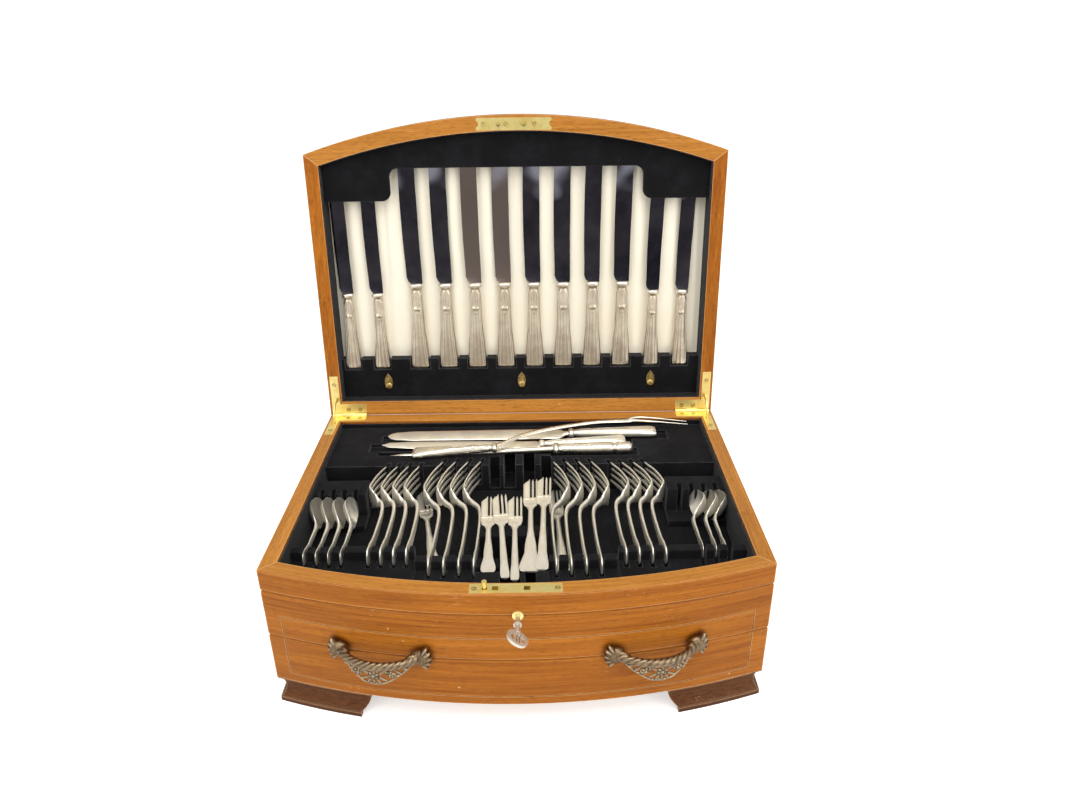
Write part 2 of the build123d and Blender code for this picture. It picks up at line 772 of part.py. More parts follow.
key_roll = 32.0  # how far the key stands turned in its hole
key_out = 27.0  # bow's centre from the front face
with BuildPart() as key:
    bow_y_out = bow_y(keyhole_x) - key_out
    axis_plane = Plane(origin=(keyhole_x, bow_y_out, keyhole_z), x_dir=(0, -1, 0), z_dir=(sin(radians(key_roll)), 0, cos(radians(key_roll))))
    with BuildSketch(Plane(origin=(keyhole_x, bow_y_out + 6.5, keyhole_z), z_dir=(0, 1, 0))):
        Circle(key_radius)
    extrude(amount=lock_y + 2.6 - bow_y_out - 6.5)
    with BuildSketch(Plane(origin=(keyhole_x, bow_y_out + 15.0, keyhole_z), z_dir=(0, 1, 0))):
        Circle(key_radius + 1.5)
    extrude(amount=2.2)
    # oval bow with three struts
    with BuildSketch(axis_plane.offset(-1.2)):
        Ellipse(8.0, 9.2)
        Ellipse(5.2, 6.4, mode=Mode.SUBTRACT)
        with Locations((0, -2.6), (0, 0), (0, 2.6)):
            Rectangle(11.6, 1.1)
        with Locations((-8.3, 0)):
            Rectangle(2.4, 4.4)
    extrude(amount=2.4)
    # bit, inside the lock
    with BuildSketch(axis_plane.offset(-0.8)):
        with Locations((bow_y_out - lock_y, -bit_radius / 2)):
            Rectangle(4.6, bit_radius)
    extrude(amount=1.6)
save(key, "key")

with BuildPart() as interlock_pin:
    pin_top = rim_z + interlock_travel + 0.1
    with BuildSketch(Plane.XY.offset(pin_top - interlock_head)):
        with Locations((pin_x, lock_y)):
            Circle(interlock_radius)
    extrude(amount=-(pin_top - interlock_head - opening_top - 0.2))
    with BuildSketch(Plane.XY.offset(pin_top - 2 * interlock_head)):
        with Locations((pin_x, lock_y)):
            Circle(interlock_head)
    extrude(amount=2 * interlock_head)
save(interlock_pin, "interlock_pin")

# ================================================================ racks in the tray
shelf_drop = 8.0  # rear shelf and spoon racks, below the rim
shelf_depth = 86.0  # from the inner back
finger_drop, apron_step = 12.0, 22.0  # fingers and step of the front racks, below the rim
lining = 1.0  # velvet on the tray's floor and walls
slot_width = 4.5
trough_depth = 3.7
rack_gap = 0.3
shelf_top = rim_z - shelf_drop
shelf_front_y = inner_back_y - shelf_depth
rack_floor = tray_z + lining
tray_half = inner_x - lining


def depth_y(depth):
    """Y of a place given by its distance forward of the tray's back wall."""
    return inner_back_y - depth


with BuildPart() as tray_lining:
    with BuildSketch(Plane.XY.offset(tray_z)):
        add(outline_plan(side_wall, front_wall, back_wall))
    extrude(amount=rim_z - 3 - tray_z)
    with BuildSketch(Plane.XY.offset(rack_floor)):
        add(outline_plan(side_wall + lining, front_wall + lining, back_wall + lining))
    extrude(amount=rim_z - rack_floor, mode=Mode.SUBTRACT)
save(tray_lining, "tray_lining")

# cutlery standing on edge: x and distance from the back wall of its tip, bend, neck and handle end
fork_groups = {
    "left": ((-136.8, 85.9), (-146.4, 125.1), (-132.8, 144.2), (-131.8, 231.5), 11.3),
    "left_table": ((-79.4, 77.8), (-92.9, 126.9), (-77.2, 152.6), (-76.9, 247.5), 13.0),
    "right_table": ((33.9, 80.7), (47.6, 126.2), (32.2, 155.6), (33.2, 248.5), 13.0),
    "right": ((92.8, 83.5), (106.6, 122.5), (93.4, 146.4), (94.6, 234.0), 11.6),
}
spoon_groups = {
    "left": ((-191.9, 135.6), (-193.5, 155.0), (-188.9, 175.2), (-187.8, 231.0), 10.8, 4),
    "right": ((167.3, 132.0), (172.5, 151.0), (163.6, 171.5), (162.6, 227.5), 11.6, 3),
}


def fork_slots(group, height, top):
    """The slots a group of forks stands in at the shelf's front edge: slanted across it."""
    tip, bend, neck, end, pitch = fork_groups[group]
    lean = degrees(atan2(tip[0] - bend[0], bend[1] - tip[1]))
    with BuildPart() as slots:
        with BuildSketch(Plane.XY.offset(top)):
            for i in range(4):
                with Locations(Location((tip[0] + i * pitch, depth_y(tip[1] + 2)), -lean)):
                    Rectangle(slot_width, 17)
        extrude(amount=-height)
    return slots.part


with BuildPart() as rear_shelf:
    with BuildSketch(Plane.XY.offset(rack_floor)):
        with Locations((0, depth_y(lining + rack_gap) - (shelf_depth - lining) / 2)):
            Rectangle(2 * (tray_half - rack_gap), shelf_depth - lining)
    extrude(amount=shelf_top - rack_floor)
    for group in fork_groups:
        add(fork_slots(group, 23.2, shelf_top), mode=Mode.SUBTRACT)
    with BuildSketch(Plane.XY.offset(shelf_top)):
        # deep slots and pockets at the middle of the front edge
        for x, wide, deep in ((-26.5, 11, 18), (-11, 12, 31), (9, 12, 31), (27, 11, 18)):
            with Locations((x, shelf_front_y + deep / 2 - 1)):
                Rectangle(wide, deep + 2)
    extrude(amount=-(shelf_top - rack_floor - 4), mode=Mode.SUBTRACT)
    with BuildSketch(Plane.XY.offset(shelf_top)):
        # the carving knife's trough, the other knife's, and the steel's
        with Locations((-40, depth_y(27))):
            Rectangle(222, 13)
        with Locations((112, depth_y(24.5))):
            Rectangle(96, 19)
        with Locations((-66, depth_y(47))):
            Rectangle(190, 17)
        with Locations((68, depth_y(43.5))):
            Rectangle(104, 19)
        with Locations((78, depth_y(61))):
            Rectangle(92, 15.5)
    extrude(amount=-trough_depth, mode=Mode.SUBTRACT)
    with BuildSketch(Plane.XY.offset(shelf_top)):
        with Locations((-56, depth_y(60.5))):
            Rectangle(190, 7.5)
    extrude(amount=-2 * trough_depth, mode=Mode.SUBTRACT)
save(rear_shelf, "rear_shelf")


def rack_block(x0, x1, depth0, depth1, top):
    """A plain rack block between two x places and two distances from the back wall."""
    with BuildPart() as block:
        with BuildSketch(Plane.XY.offset(rack_floor)):
            with Locations(((x0 + x1) / 2, depth_y((depth0 + depth1) / 2))):
                Rectangle(x1 - x0, depth1 - depth0)
        extrude(amount=top - rack_floor)
    return block.part


with BuildPart() as spoon_racks:
    for x0, x1, front in ((-tray_half + rack_gap, -149, 140), (144, tray_half - rack_gap, 138)):
        add(rack_block(x0, x1, 113, front, shelf_top))
        add(rack_block(x0, x1, front, front + 18, rim_z - 32.4))
    for group in spoon_groups.values():
        tip, bowl, neck, end, pitch, count = group
        with BuildSketch(Plane.XY.offset(shelf_top)):
            for i in range(count + 1):
                x = tip[0] + (i if tip[0] < 0 else i - 1) * pitch
                if abs(x) < 197 and -152 > x or x > 148:
                    with Locations((x + (bowl[0] - tip[0]) * 0.2, depth_y(tip[1] + 4))):
                        Rectangle(slot_width + 0.6, 20)
        extrude(amount=rim_z - 32.4 - shelf_top, mode=Mode.SUBTRACT)
save(spoon_racks, "spoon_racks")


def front_rack(x0, x1, finger_y, slots, slot_wide=slot_width):
    """One stepped rack along the bowed front: tall fingers, a lower apron in front, handles in the slots."""
    wall = front_wall + lining + rack_gap
    with BuildPart() as rack:
        for y, top in ((None, rim_z - apron_step), (finger_y, rim_z - finger_drop)):
            with BuildSketch(Plane.XY.offset(rack_floor)):
                with BuildLine():
                    middle = (x0 + x1) / 2
                    if y is None:
                        ThreePointArc((x0, bow_y(x0, wall)), (middle, bow_y(middle, wall)), (x1, bow_y(x1, wall)))
                        Polyline((x1, bow_y(x1, wall)), (x1, finger_y + 9), (x0, finger_y + 9), (x0, bow_y(x0, wall)))
                    else:
                        Polyline((x0, y), (x1, y), (x1, y + 9), (x0, y + 9), close=True)
                make_face()
            extrude(amount=top - rack_floor)
        with BuildSketch(Plane.XY.offset(rim_z - finger_drop)):
            for x in slots:
                with Locations((x, finger_y)):
                    Rectangle(slot_wide, 19)
        extrude(amount=-17.4, mode=Mode.SUBTRACT)
    return rack.part


def handle_xs(group):
    """Where the handle ends of a group of forks or spoons stand across the chest."""
    data = fork_groups.get(group) or spoon_groups[group.removesuffix("_spoons")][:5]
    count = 4 if group != "right_spoons" else 3
    return [data[3][0] + i * data[4] for i in range(count)]


table_front = 242.0  # front face of the table forks' fingers, from the back wall
with BuildPart() as front_racks:
    add(front_rack(-tray_half + rack_gap, -91, depth_y(227), handle_xs("left_spoons") + handle_xs("left")))
    add(front_rack(-89, -38, depth_y(table_front), handle_xs("left_table")))
    add(front_rack(37 - 10, 86, depth_y(table_front + 1), handle_xs("right_table")))
    add(front_rack(88, tray_half - rack_gap, depth_y(231), handle_xs("right") + handle_xs("right_spoons")))
save(front_racks, "front_racks")

with BuildPart() as pastry_rack:
    wall = front_wall + lining + rack_gap
    low, high = rim_z - 15.6, rim_z - finger_drop
    with BuildSketch(Plane.XY.offset(rack_floor)):
        for depth, long in ((193, 16), (241, 12)):
            with Locations((-4.8, depth_y(depth))):
                Rectangle(62.6, long)
    extrude(amount=low - rack_floor)
    for x0, x1 in ((-36.1, -15.0), (2.6, 6.5), (15.5, 26.5)):
        middle = (x0 + x1) / 2
        with BuildSketch(Plane.XY.offset(rack_floor)):
            with BuildLine():
                ThreePointArc((x0, bow_y(x0, wall)), (middle, bow_y(middle, wall)), (x1, bow_y(x1, wall)))
                Polyline((x1, bow_y(x1, wall)), (x1, depth_y(257)), (x0, depth_y(257)), (x0, bow_y(x0, wall)))
            make_face()
        extrude(amount=high - rack_floor)
save(pastry_rack, "pastry_rack")

# ================================================================ cutlery standing on edge in the tray
on_edge_z = rim_z - 19.0  # middle height of forks and spoons standing on edge
silver = 2.1


def strip(points, thickness):
    """The outline of a bent strip of even thickness through points, as (x, y) corners."""
    sides = [], []
    for i, (x, y) in enumerate(points):
        before, after = points[max(i - 1, 0)], points[min(i + 1, len(points) - 1)]
        dx, dy = after[0] - before[0], after[1] - before[1]
        out = thickness / 2 / hypot(dx, dy)
        sides[0].append((x - dy * out, y + dx * out))
        sides[1].append((x + dy * out, y - dx * out))
    return sides[0] + sides[1][::-1]


def edge_band(points, height, thickness=silver):
    """A side profile stood on edge: a strip through (x, depth) points, height tall."""
    with BuildPart() as band:
        with BuildSketch(Plane.XY.offset(on_edge_z - height / 2)):
            with BuildLine():
                Polyline(*strip([(x, depth_y(depth)) for x, depth in points], thickness), close=True)
            make_face()
        extrude(amount=height)
    return band.part


def side_plane(x):
    """The plane on which the outline of a piece standing on edge is drawn: Y forward and back, Z up."""
    return Plane(origin=(x, 0, on_edge_z), x_dir=(0, 1, 0), z_dir=(1, 0, 0))


def handle_outline(neck_y, end_y, neck_half, end_half):
    """Half outline points of a handle from its neck, widening to a rounded end."""
    return [
        (neck_y, neck_half),
        (end_y + 5, end_half),
        (end_y, end_half * 0.5),
    ]


def mirrored(points):
    """An outline from its upper half, both given as (y, z)."""
    return points + [(y, -z) for y, z in reversed(points)]


def standing_fork(group, index, tine_length):
    """A four-tined fork on edge, its tips back and its handle forward."""
    tip, bend, neck, end, pitch = fork_groups[group]
    dx = index * pitch
    with BuildPart() as fork:
        add(edge_band([(x + dx, d) for x, d in (tip, bend, neck, end)], 24))
        tip_y, root_y = depth_y(tip[1]), depth_y(tip[1] + tine_length)
        neck_y, end_y = depth_y(neck[1]), depth_y(end[1])
        profile = [(tip_y, 11), (root_y - 5, 12), ((root_y + neck_y) / 2 - 6, 6.2)]
        with BuildSketch(side_plane(tip[0] + dx - 30)):
            with BuildLine():
                Polyline(*mirrored(profile + handle_outline(neck_y - 3, end_y, 3.0, 10.0)), close=True)
            make_face()
            for z in (-6.8, 0, 6.8):
                with Locations((tip_y - tine_length / 2, z)):
                    Rectangle(tine_length, 3.2, mode=Mode.SUBTRACT)
        extrude(amount=60, mode=Mode.INTERSECT)
    return fork.part


def standing_spoon(group, index):
    """A teaspoon on edge, its bowl back and its handle forward."""
    tip, bowl, neck, end, pitch, count = spoon_groups[group]
    dx = index * pitch
    with BuildPart() as spoon:
        add(edge_band([(x + dx, d) for x, d in (tip, bowl, neck, end)], 28, 1.8))
        tip_y, neck_y, end_y = depth_y(tip[1]), depth_y(neck[1]), depth_y(end[1])
        egg = [(tip_y, 4.5), (tip_y - 6, 11), (tip_y - 16, 13), (tip_y - 28, 10)]
        egg.append((neck_y + 4, 4.5))
        with BuildSketch(side_plane(tip[0] + dx - 30)):
            with BuildLine():
                Polyline(*mirrored(egg + handle_outline(neck_y - 3, end_y, 2.4, 7.5)), close=True)
            make_face()
        extrude(amount=60, mode=Mode.INTERSECT)
    return spoon.part


with BuildPart() as table_forks:
    for group in ("left_table", "right_table"):
        for i in range(4):
            add(standing_fork(group, i, 44))
save(table_forks, "table_forks")

with BuildPart() as dessert_forks:
    for group in ("left", "right"):
        for i in range(4):
            add(standing_fork(group, i, 38))
save(dessert_forks, "dessert_forks")

with BuildPart() as teaspoons:
    for group in spoon_groups:
        for i in range(spoon_groups[group][5]):
            add(standing_spoon(group, i))
save(teaspoons, "teaspoons")

pastry_forks = (  # tip and handle end, x and distance from the back wall; height of its middle; half width of its end
    ((-101.5, 88.5), (-76.5, 216), rack_floor + 1.3, 7.0),
    ((-29.9, 137), (-25.0, 255.0), rim_z - 14.4, 6.5),
    ((-19.6, 137.3), (-10.2, 266.0), rim_z - 12.0, 3.9),
    ((-4.5, 137.8), (-2.2, 266.0), rim_z - 14.4, 3.9),
    ((10.8, 106.3), (11.0, 254.5), rim_z - 14.4, 9.8),
    ((24.6, 106.0), (20.6, 255.5), rim_z - 12.0, 5.6),
    ((35.0, 88.5), (40.0, 224), rack_floor + 1.3, 7.0),
)


def flat_fork(tip, end, z, flare):
    """A pastry fork lying face up: a broad cutting tine at the left, two slim tines, a flared handle."""
    dx, dy = end[0] - tip[0], end[1] - tip[1]
    length = sqrt(dx * dx + dy * dy)
    with BuildPart() as fork:
        with BuildSketch(
            Plane(origin=(tip[0], depth_y(tip[1]), z - 1), x_dir=(dx / length, -dy / length, 0), z_dir=(0, 0, 1))
        ):
            with BuildLine():
                Polyline(
                    (0, -0.6), (9, -7.4), (38, -7.2), (47, -5.8), (54, -2.6), (length * 0.6, -2.8),
                    (length - 3, -flare), (length, -flare * 0.7), (length + 0.8, 0), (length, flare * 0.7),
                    (length - 3, flare), (length * 0.6, 2.8), (54, 2.6), (47, 5.8), (38, 7.2), (1, 7.0),
                    (0, 5.5), close=True,
                )
            make_face()
            for y, wide in ((0.4, 1.6), (4.3, 1.4)):
                with Locations((17, y)):
                    Rectangle(36, wide, mode=Mode.SUBTRACT)
        extrude(amount=2)
    return fork.part


with BuildPart() as pastry_fork_set:
    for pastry_fork in pastry_forks:
        add(flat_fork(*pastry_fork))
save(pastry_fork_set, "pastry_forks")

# ================================================================ carving set on the rear shelf
def oval(wide, thick):
    """A handle's section: a flattened hexagon."""
    return Polygon(
        (-wide, 0), (-wide * 0.5, -thick), (wide * 0.5, -thick), (wide, 0), (wide * 0.5, thick), (-wide * 0.5, thick)
    )


def lofted_handle(start, end, stations):
    """A handle through (fraction, half height, half width) stations."""
    run = Vector(*end) - Vector(*start)
    plane = Plane(origin=start, x_dir=Vector(0, 0, 1), z_dir=run)
    with BuildPart() as handle:
        for fraction, high, wide in stations:
            with BuildSketch(plane.offset(fraction * run.length)):
                oval(high, wide)
        loft(ruled=True)
    return handle.part


def shelf_blade(heel, tip, width, curve, z, edge=1):
    """A blade lying flat from heel to tip; edge says which way it bellies."""
    dx, dy = tip[0] - heel[0], depth_y(tip[1]) - depth_y(heel[1])
    length = sqrt(dx * dx + dy * dy)
    plane = Plane(origin=(heel[0], depth_y(heel[1]), z), x_dir=(dx / length, dy / length, 0), z_dir=(0, 0, 1))
    with BuildPart() as blade:
        with BuildSketch(plane):
            with BuildLine():
                Line((0, -width / 2), (0, width / 2))
                ThreePointArc((0, width / 2), (length * 0.6, width / 2 - curve * 0.1), (length, 0.8 - width / 2 + curve))
                Line((length, 0.8 - width / 2 + curve), (length, -width / 2 + curve))
                ThreePointArc((length, -width / 2 + curve), (length * 0.5, -width / 2), (0, -width / 2))
            make_face()
        extrude(amount=1.6)
    return blade.part


knife_handle_stations = ((0.0, 5.5, 5.0), (0.03, 7.0, 6.5), (0.08, 5.0, 4.8), (0.8, 7.4, 8.2), (1.0, 6.0, 7.0))


def scaled_stations(high, wide):
    """The handle stations, made lower and narrower."""
    return tuple((fraction, h * high, w * wide) for fraction, h, w in knife_handle_stations)


trough_z = shelf_top - trough_depth + 0.2  # where handles rest
with BuildPart() as carving_knife:
    add(shelf_blade((46, 26), (-144, 27), 19, 6, trough_z + 6.6))
    add(
        lofted_handle(
            (45, depth_y(26), trough_z + 7.4), (147, depth_y(24), trough_z + 7.4), knife_handle_stations
        )
    )
save(carving_knife, "carving_knife")

with BuildPart() as game_knife:
    add(shelf_blade((18, 48), (-148, 44), 14, 4, trough_z + 5.1))
    add(
        lofted_handle(
            (17, depth_y(48), trough_z + 5.9), (112, depth_y(40.5), trough_z + 5.9), scaled_stations(0.8, 0.8)
        )
    )
save(game_knife, "game_knife")

steel_end = (34, depth_y(60.5), trough_z + 7.2)
with BuildPart() as sharpening_steel:
    steel_run = Vector(-142, depth_y(60.5), trough_z - 0.3) - Vector(*steel_end)
    with BuildSketch(Plane(origin=steel_end, z_dir=steel_run)):
        Circle(2.9)
    extrude(amount=steel_run.length)
    profile = ((0, 5.5, 5.5), (0.55, 6, 6), (0.66, 7.2, 7.2), (0.74, 5.2, 5.2), (0.86, 6.6, 6.6), (1.0, 3, 3))
    add(lofted_handle(steel_end, (118, depth_y(60), trough_z + 7.2), profile))
save(sharpening_steel, "sharpening_steel")

# the carving fork: its handle at the left, its shank crossing over the knife's handle to two tines at the right
with BuildPart() as carving_fork:
    butt, neck = (-112, depth_y(68), shelf_top + 4.8), (-22, depth_y(66), rim_z + 1.0)
    add(lofted_handle(neck, butt, scaled_stations(0.62, 0.85)))
    shank = ((-25, 66), (12, 40), (70, 22), (120, 15))
    with BuildSketch(Plane.XY.offset(rim_z + 3.6)):
        with BuildLine():
            Polyline(*strip([(x, depth_y(depth)) for x, depth in shank], 4.4), close=True)
        make_face()
        for offset in (-4.2, 4.2):
            tine = ((117, 15.3), (134, 14 - offset), (182, 17 - offset * 0.8))
            with BuildLine():
                Polyline(*strip([(x, depth_y(depth)) for x, depth in tine], 2.8), close=True)
            make_face()
    extrude(amount=2.0)
save(carving_fork, "carving_fork")

# ================================================================ lid, drawn shut and swung open
lid_base = rim_z + running_gap
lid_wall_height = lid_inside_z - lid_base

def strike_plan():
    """The strike plate, its ends hollowed."""
    with BuildSketch() as plan:
        with Locations((strike_x, lock_y)):
            Rectangle(strike_length, lock_plate_width)
        with Locations((strike_x - strike_length / 2 - 1.2, lock_y), (strike_x + strike_length / 2 + 1.2, lock_y)):
            Circle(3.4, mode=Mode.SUBTRACT)
    return plan.sketch


with BuildPart() as lid_front_rail:
    with BuildSketch(lid_plane(lid_base)):
        add(front_plan())
    extrude(amount=lid_wall_height)
    with BuildSketch(lid_plane(lid_base)):
        add(strike_plan())
    extrude(amount=brass_sheet, mode=Mode.SUBTRACT)
save(lid_front_rail, "lid_front_rail")


def lid_side(side):
    """A side rail of the lid, with mortises for the hinge leaf and the quadrant stay."""
    with BuildPart() as rail:
        with BuildSketch(lid_plane(lid_base)):
            add(side_plan(side))
        extrude(amount=lid_wall_height)
        with BuildSketch(lid_plane(lid_base)):
            add(leaf_plan(side))
        extrude(amount=leaf_thickness, mode=Mode.SUBTRACT)
        add(stay_sector(side, -20, stay_half_angle + 4, mortise_play, stay_lug, lid_turn), mode=Mode.SUBTRACT)
        add(knuckle_relief(side), mode=Mode.SUBTRACT)
        return rail


for side, hand in ((-1, "left"), (1, "right")):
    save(lid_side(side), f"lid_side_{hand}")

with BuildPart() as lid_back_rail:
    with BuildSketch(lid_plane(lid_base)):
        with Locations((0, back_y - back_wall / 2)):
            Rectangle(2 * inner_x, back_wall)
    extrude(amount=lid_wall_height)
    for side in (-1, 1):
        with BuildSketch(lid_plane(lid_base)):
            add(leaf_plan(side))
        extrude(amount=leaf_thickness, mode=Mode.SUBTRACT)
        add(knuckle_relief(side), mode=Mode.SUBTRACT)
save(lid_back_rail, "lid_back_rail")

lid_edge_round = 5.0
with BuildPart() as shut_panel:
    with BuildSketch(Plane.XY.offset(lid_inside_z)):
        add(outline_plan())
    extrude(amount=lid_panel)
    top_face = shut_panel.faces().sort_by(Axis.Z)[-1]
    fillet(top_face.edges(), lid_edge_round)
with BuildPart() as lid_top_panel:
    add(lid_turn * shut_panel.part)
save(lid_top_panel, "lid_top_panel")

with BuildPart() as lid_hinge_leaves:
    for side in (-1, 1):
        add(hinge_leaf(side, lid_knuckles, case_knuckles, pin_radius + 0.05, lid_turn, lid_base, (-20, 20)))
save(lid_hinge_leaves, "lid_hinge_leaves")

with BuildPart() as strike_plate:
    with BuildSketch(lid_plane(lid_base)):
        add(strike_plan())
    extrude(amount=brass_sheet)
    # studs: a square neck under a pointed head
    neck = stud_length - 2 * stud_head + 0.5
    with BuildSketch(lid_plane(lid_base)):
        with Locations(*[(x, lock_y) for x in stud_x]):
            Rectangle(2 * stud_neck, 2 * stud_neck)
    extrude(amount=-neck)
    with BuildSketch(lid_plane(lid_base - neck)):
        with Locations(*[(x, lock_y) for x in stud_x]):
            RegularPolygon(stud_head, 8)
    extrude(amount=-stud_head)
    with BuildSketch(lid_plane(lid_base - neck - stud_head)):
        with Locations(*[(x, lock_y) for x in stud_x]):
            RegularPolygon(stud_head, 8)
    extrude(amount=-stud_head, taper=28)
save(strike_plate, "strike_plate")

# ---------------------------------------------------------------- lid lining
satin = 3.0
bar_low, bar_high = 17.0, 62.0  # knife bar, from the lid's back face
bar_face, bar_thick = 12.0, 13.0  # above the rim when shut
notch_depth = 12.0
bridge_middle, bridge_wing, bridge_wing_x = 268.0, 235.0, 131.0  # bridge board's edge from the back face
bridge_face, bridge_thick = 8.0, 5.0
blade_plane_height = 17.0
wall_pad = 1.0  # velvet on the lid's inner walls
clip_xs = (-149.0, 1.3, 146.5)
clip_pivot = 30.5  # from the lid's back face
clip_length, clip_width, clip_thickness = 18.0, 8.0, 1.4
clip_pin = 1.2

# lid knives: x, handle's end and bolster from the back face, blade's tip, blade's x at the bridge
table_knives = [(-112.0 + 32.07 * i, 50.0, 146.5, 286.0) for i in range(8)]
dessert_knives = [(x, 50.0, 136.5, 258.0) for x in (-187.0, -154.5, 146.5, 178.5)]


def lid_y(distance):
    """Y in the shut lid of a place given by its distance from the lid's back face."""
    return back_y - distance


with BuildPart() as satin_lining:
    with BuildSketch(lid_plane(lid_inside_z)):
        add(outline_plan(side_wall + wall_pad, front_wall + wall_pad, back_wall + wall_pad))
    extrude(amount=-satin)
save(satin_lining, "satin_lining")

with BuildPart() as lid_wall_pads:
    with BuildSketch(lid_plane(lid_base + 1.5)):
        add(outline_plan(side_wall, front_wall, back_wall))
        add(outline_plan(side_wall + wall_pad, front_wall + wall_pad, back_wall + wall_pad), mode=Mode.SUBTRACT)
    extrude(amount=lid_wall_height - 1.5)
save(lid_wall_pads, "lid_wall_pads")

with BuildPart() as knife_bar:
    with BuildSketch(lid_plane(rim_z + bar_face)):
        with Locations((0, lid_y((bar_low + bar_high) / 2))):
            Rectangle(2 * (inner_x - wall_pad), bar_high - bar_low)
        for x, end, bolster, tip in table_knives + dessert_knives:
            with Locations((x, lid_y(bar_high - notch_depth / 2 + 1.3))):
                Rectangle(22.0 if tip > 270 else 19.0, notch_depth + 3, mode=Mode.SUBTRACT)
    extrude(amount=lid_inside_z - satin - rim_z - bar_face)
    with BuildSketch(lid_plane(rim_z + bar_face)):
        for x in clip_xs:
            with Locations((x, lid_y(clip_pivot))):
                Circle(clip_pin + 0.05)
    extrude(amount=9, mode=Mode.SUBTRACT)
save(knife_bar, "knife_bar")

# ---- bridge board over the blades, carried by a band along the front wall
def bridge_plan(front):
    """The bridge board in plan: its edge steps back over the outer knives, with rounded corners."""
    x = inner_x - wall_pad
    with BuildSketch() as plan:
        with BuildLine():
            Polyline(
                (-x, bow_y(x, front)),
                (-x, lid_y(bridge_wing)),
                (-bridge_wing_x, lid_y(bridge_wing)),
                (-bridge_wing_x, lid_y(bridge_middle)),
                (bridge_wing_x, lid_y(bridge_middle)),
                (bridge_wing_x, lid_y(bridge_wing)),
                (x, lid_y(bridge_wing)),
                (x, bow_y(x, front)),
            )
            ThreePointArc((x, bow_y(x, front)), (0, front_y + front), (-x, bow_y(x, front)))
        make_face()
        inside = plan.vertices().filter_by_position(Axis.X, -bridge_wing_x - 1, bridge_wing_x + 1)
        fillet(inside, 9)
    return plan.sketch


with BuildPart() as bridge_board:
    with BuildSketch(lid_plane(rim_z + bridge_face)):
        add(bridge_plan(front_wall + wall_pad))
    extrude(amount=bridge_thick)
    with BuildSketch(lid_plane(rim_z + bridge_face + bridge_thick)):
        add(outline_plan(side_wall + wall_pad, front_wall + wall_pad, back_wall + wall_pad))
        add(outline_plan(0, front_wall + wall_pad + 5, -20), mode=Mode.SUBTRACT)
    extrude(amount=lid_inside_z - satin - rim_z - bridge_face - bridge_thick)
save(bridge_board, "bridge_board")

# ---------------------------------------------------------------- lid knives
handle_stations = (  # fraction from the end to the bolster, half width, half thickness
    (0.0, 9.2, 3.4), (0.03, 10.0, 4.3), (0.66, 6.6, 4.3), (0.92, 5.0, 4.0), (0.96, 6.4, 5.0), (1.0, 4.2, 3.4),
)
blade_thickness = 1.6


def knife_handle(x, end, bolster, scale):
    """A silver knife handle, broad at its end, waisted towards a flanged bolster."""
    butt = Plane(origin=(x, lid_y(end), rim_z + blade_plane_height), x_dir=(1, 0, 0), z_dir=(0, -1, 0))
    plane = turned(lid_turn, butt)
    with BuildPart() as handle:
        for fraction, wide, thick in handle_stations:
            with BuildSketch(plane.offset(fraction * (bolster - end))):
                oval(wide * scale, thick * (0.5 + scale / 2))
        loft(ruled=True)
    return handle.part


def knife_blade(x, bolster, tip, scale):
    """A lightly curved blade with a rounded heel at its left and a round point."""
    with BuildPart() as blade:
        with BuildSketch(lid_plane(rim_z + blade_plane_height - blade_thickness / 2)):
            left, right = x - 7.8 * scale, x + 5.6 * scale
            with BuildLine():
                Polyline(
                    (right, lid_y(bolster)), (x - 2.5, lid_y(bolster)), (left + 1.2, lid_y(bolster + 4)),
                    (left - 0.6, lid_y((bolster + tip) / 2)), (left - 1.5, lid_y(tip - 9)),
                )
                ThreePointArc((left - 1.5, lid_y(tip - 9)), (left + 1.6, lid_y(tip - 2)), (x - 1, lid_y(tip)))
                ThreePointArc((x - 1, lid_y(tip)), (right - 1.6, lid_y(tip - 8)), (right - 0.8, lid_y(tip - 20)))
                Line((right - 0.8, lid_y(tip - 20)), (right, lid_y(bolster)))
            make_face()
        extrude(amount=blade_thickness)
    return blade.part


with BuildPart() as knife_blades:
    for x, end, bolster, tip in table_knives:
        add(knife_blade(x, bolster, tip, 1.0))
    for x, end, bolster, tip in dessert_knives:
        add(knife_blade(x, bolster, tip, 0.86))
save(knife_blades, "knife_blades")

with BuildPart() as knife_handles:
    for x, end, bolster, tip in table_knives:
        add(knife_handle(x, end, bolster, 1.0))
    for x, end, bolster, tip in dessert_knives:
        add(knife_handle(x, end, bolster, 0.86))
save(knife_handles, "knife_handles")

# ---------------------------------------------------------------- turn clips on the knife bar
def turn_clip(x):
    """A leaf-shaped clip with a domed rivet, turning on the knife bar's face."""
    face = lid_plane(rim_z + bar_face - 0.15)
    with BuildPart() as clip:
        with BuildSketch(face):
            with BuildLine():
                foot, point = lid_y(clip_pivot - 4.2), lid_y(clip_pivot + clip_length - 2)
                half, waist = clip_width / 2, lid_y(clip_pivot + 3.5)
                Polyline(
                    (x, foot), (x + half * 0.7, lid_y(clip_pivot - 2)), (x + half, waist), (x, point),
                    (x - half, waist), (x - half * 0.7, lid_y(clip_pivot - 2)), close=True,
                )
            make_face()
        extrude(amount=-clip_thickness)
        with BuildSketch(face.offset(-clip_thickness)):
            with Locations((x, lid_y(clip_pivot))):
                RegularPolygon(2.4, 8)
        extrude(amount=-0.9, taper=30)
        with BuildSketch(face):
            with Locations((x, lid_y(clip_pivot))):
                Circle(clip_pin)
        extrude(amount=8)
    return clip


for x, hand in zip(clip_xs, ("left", "centre", "right")):
    save(turn_clip(x), f"turn_clip_{hand}")
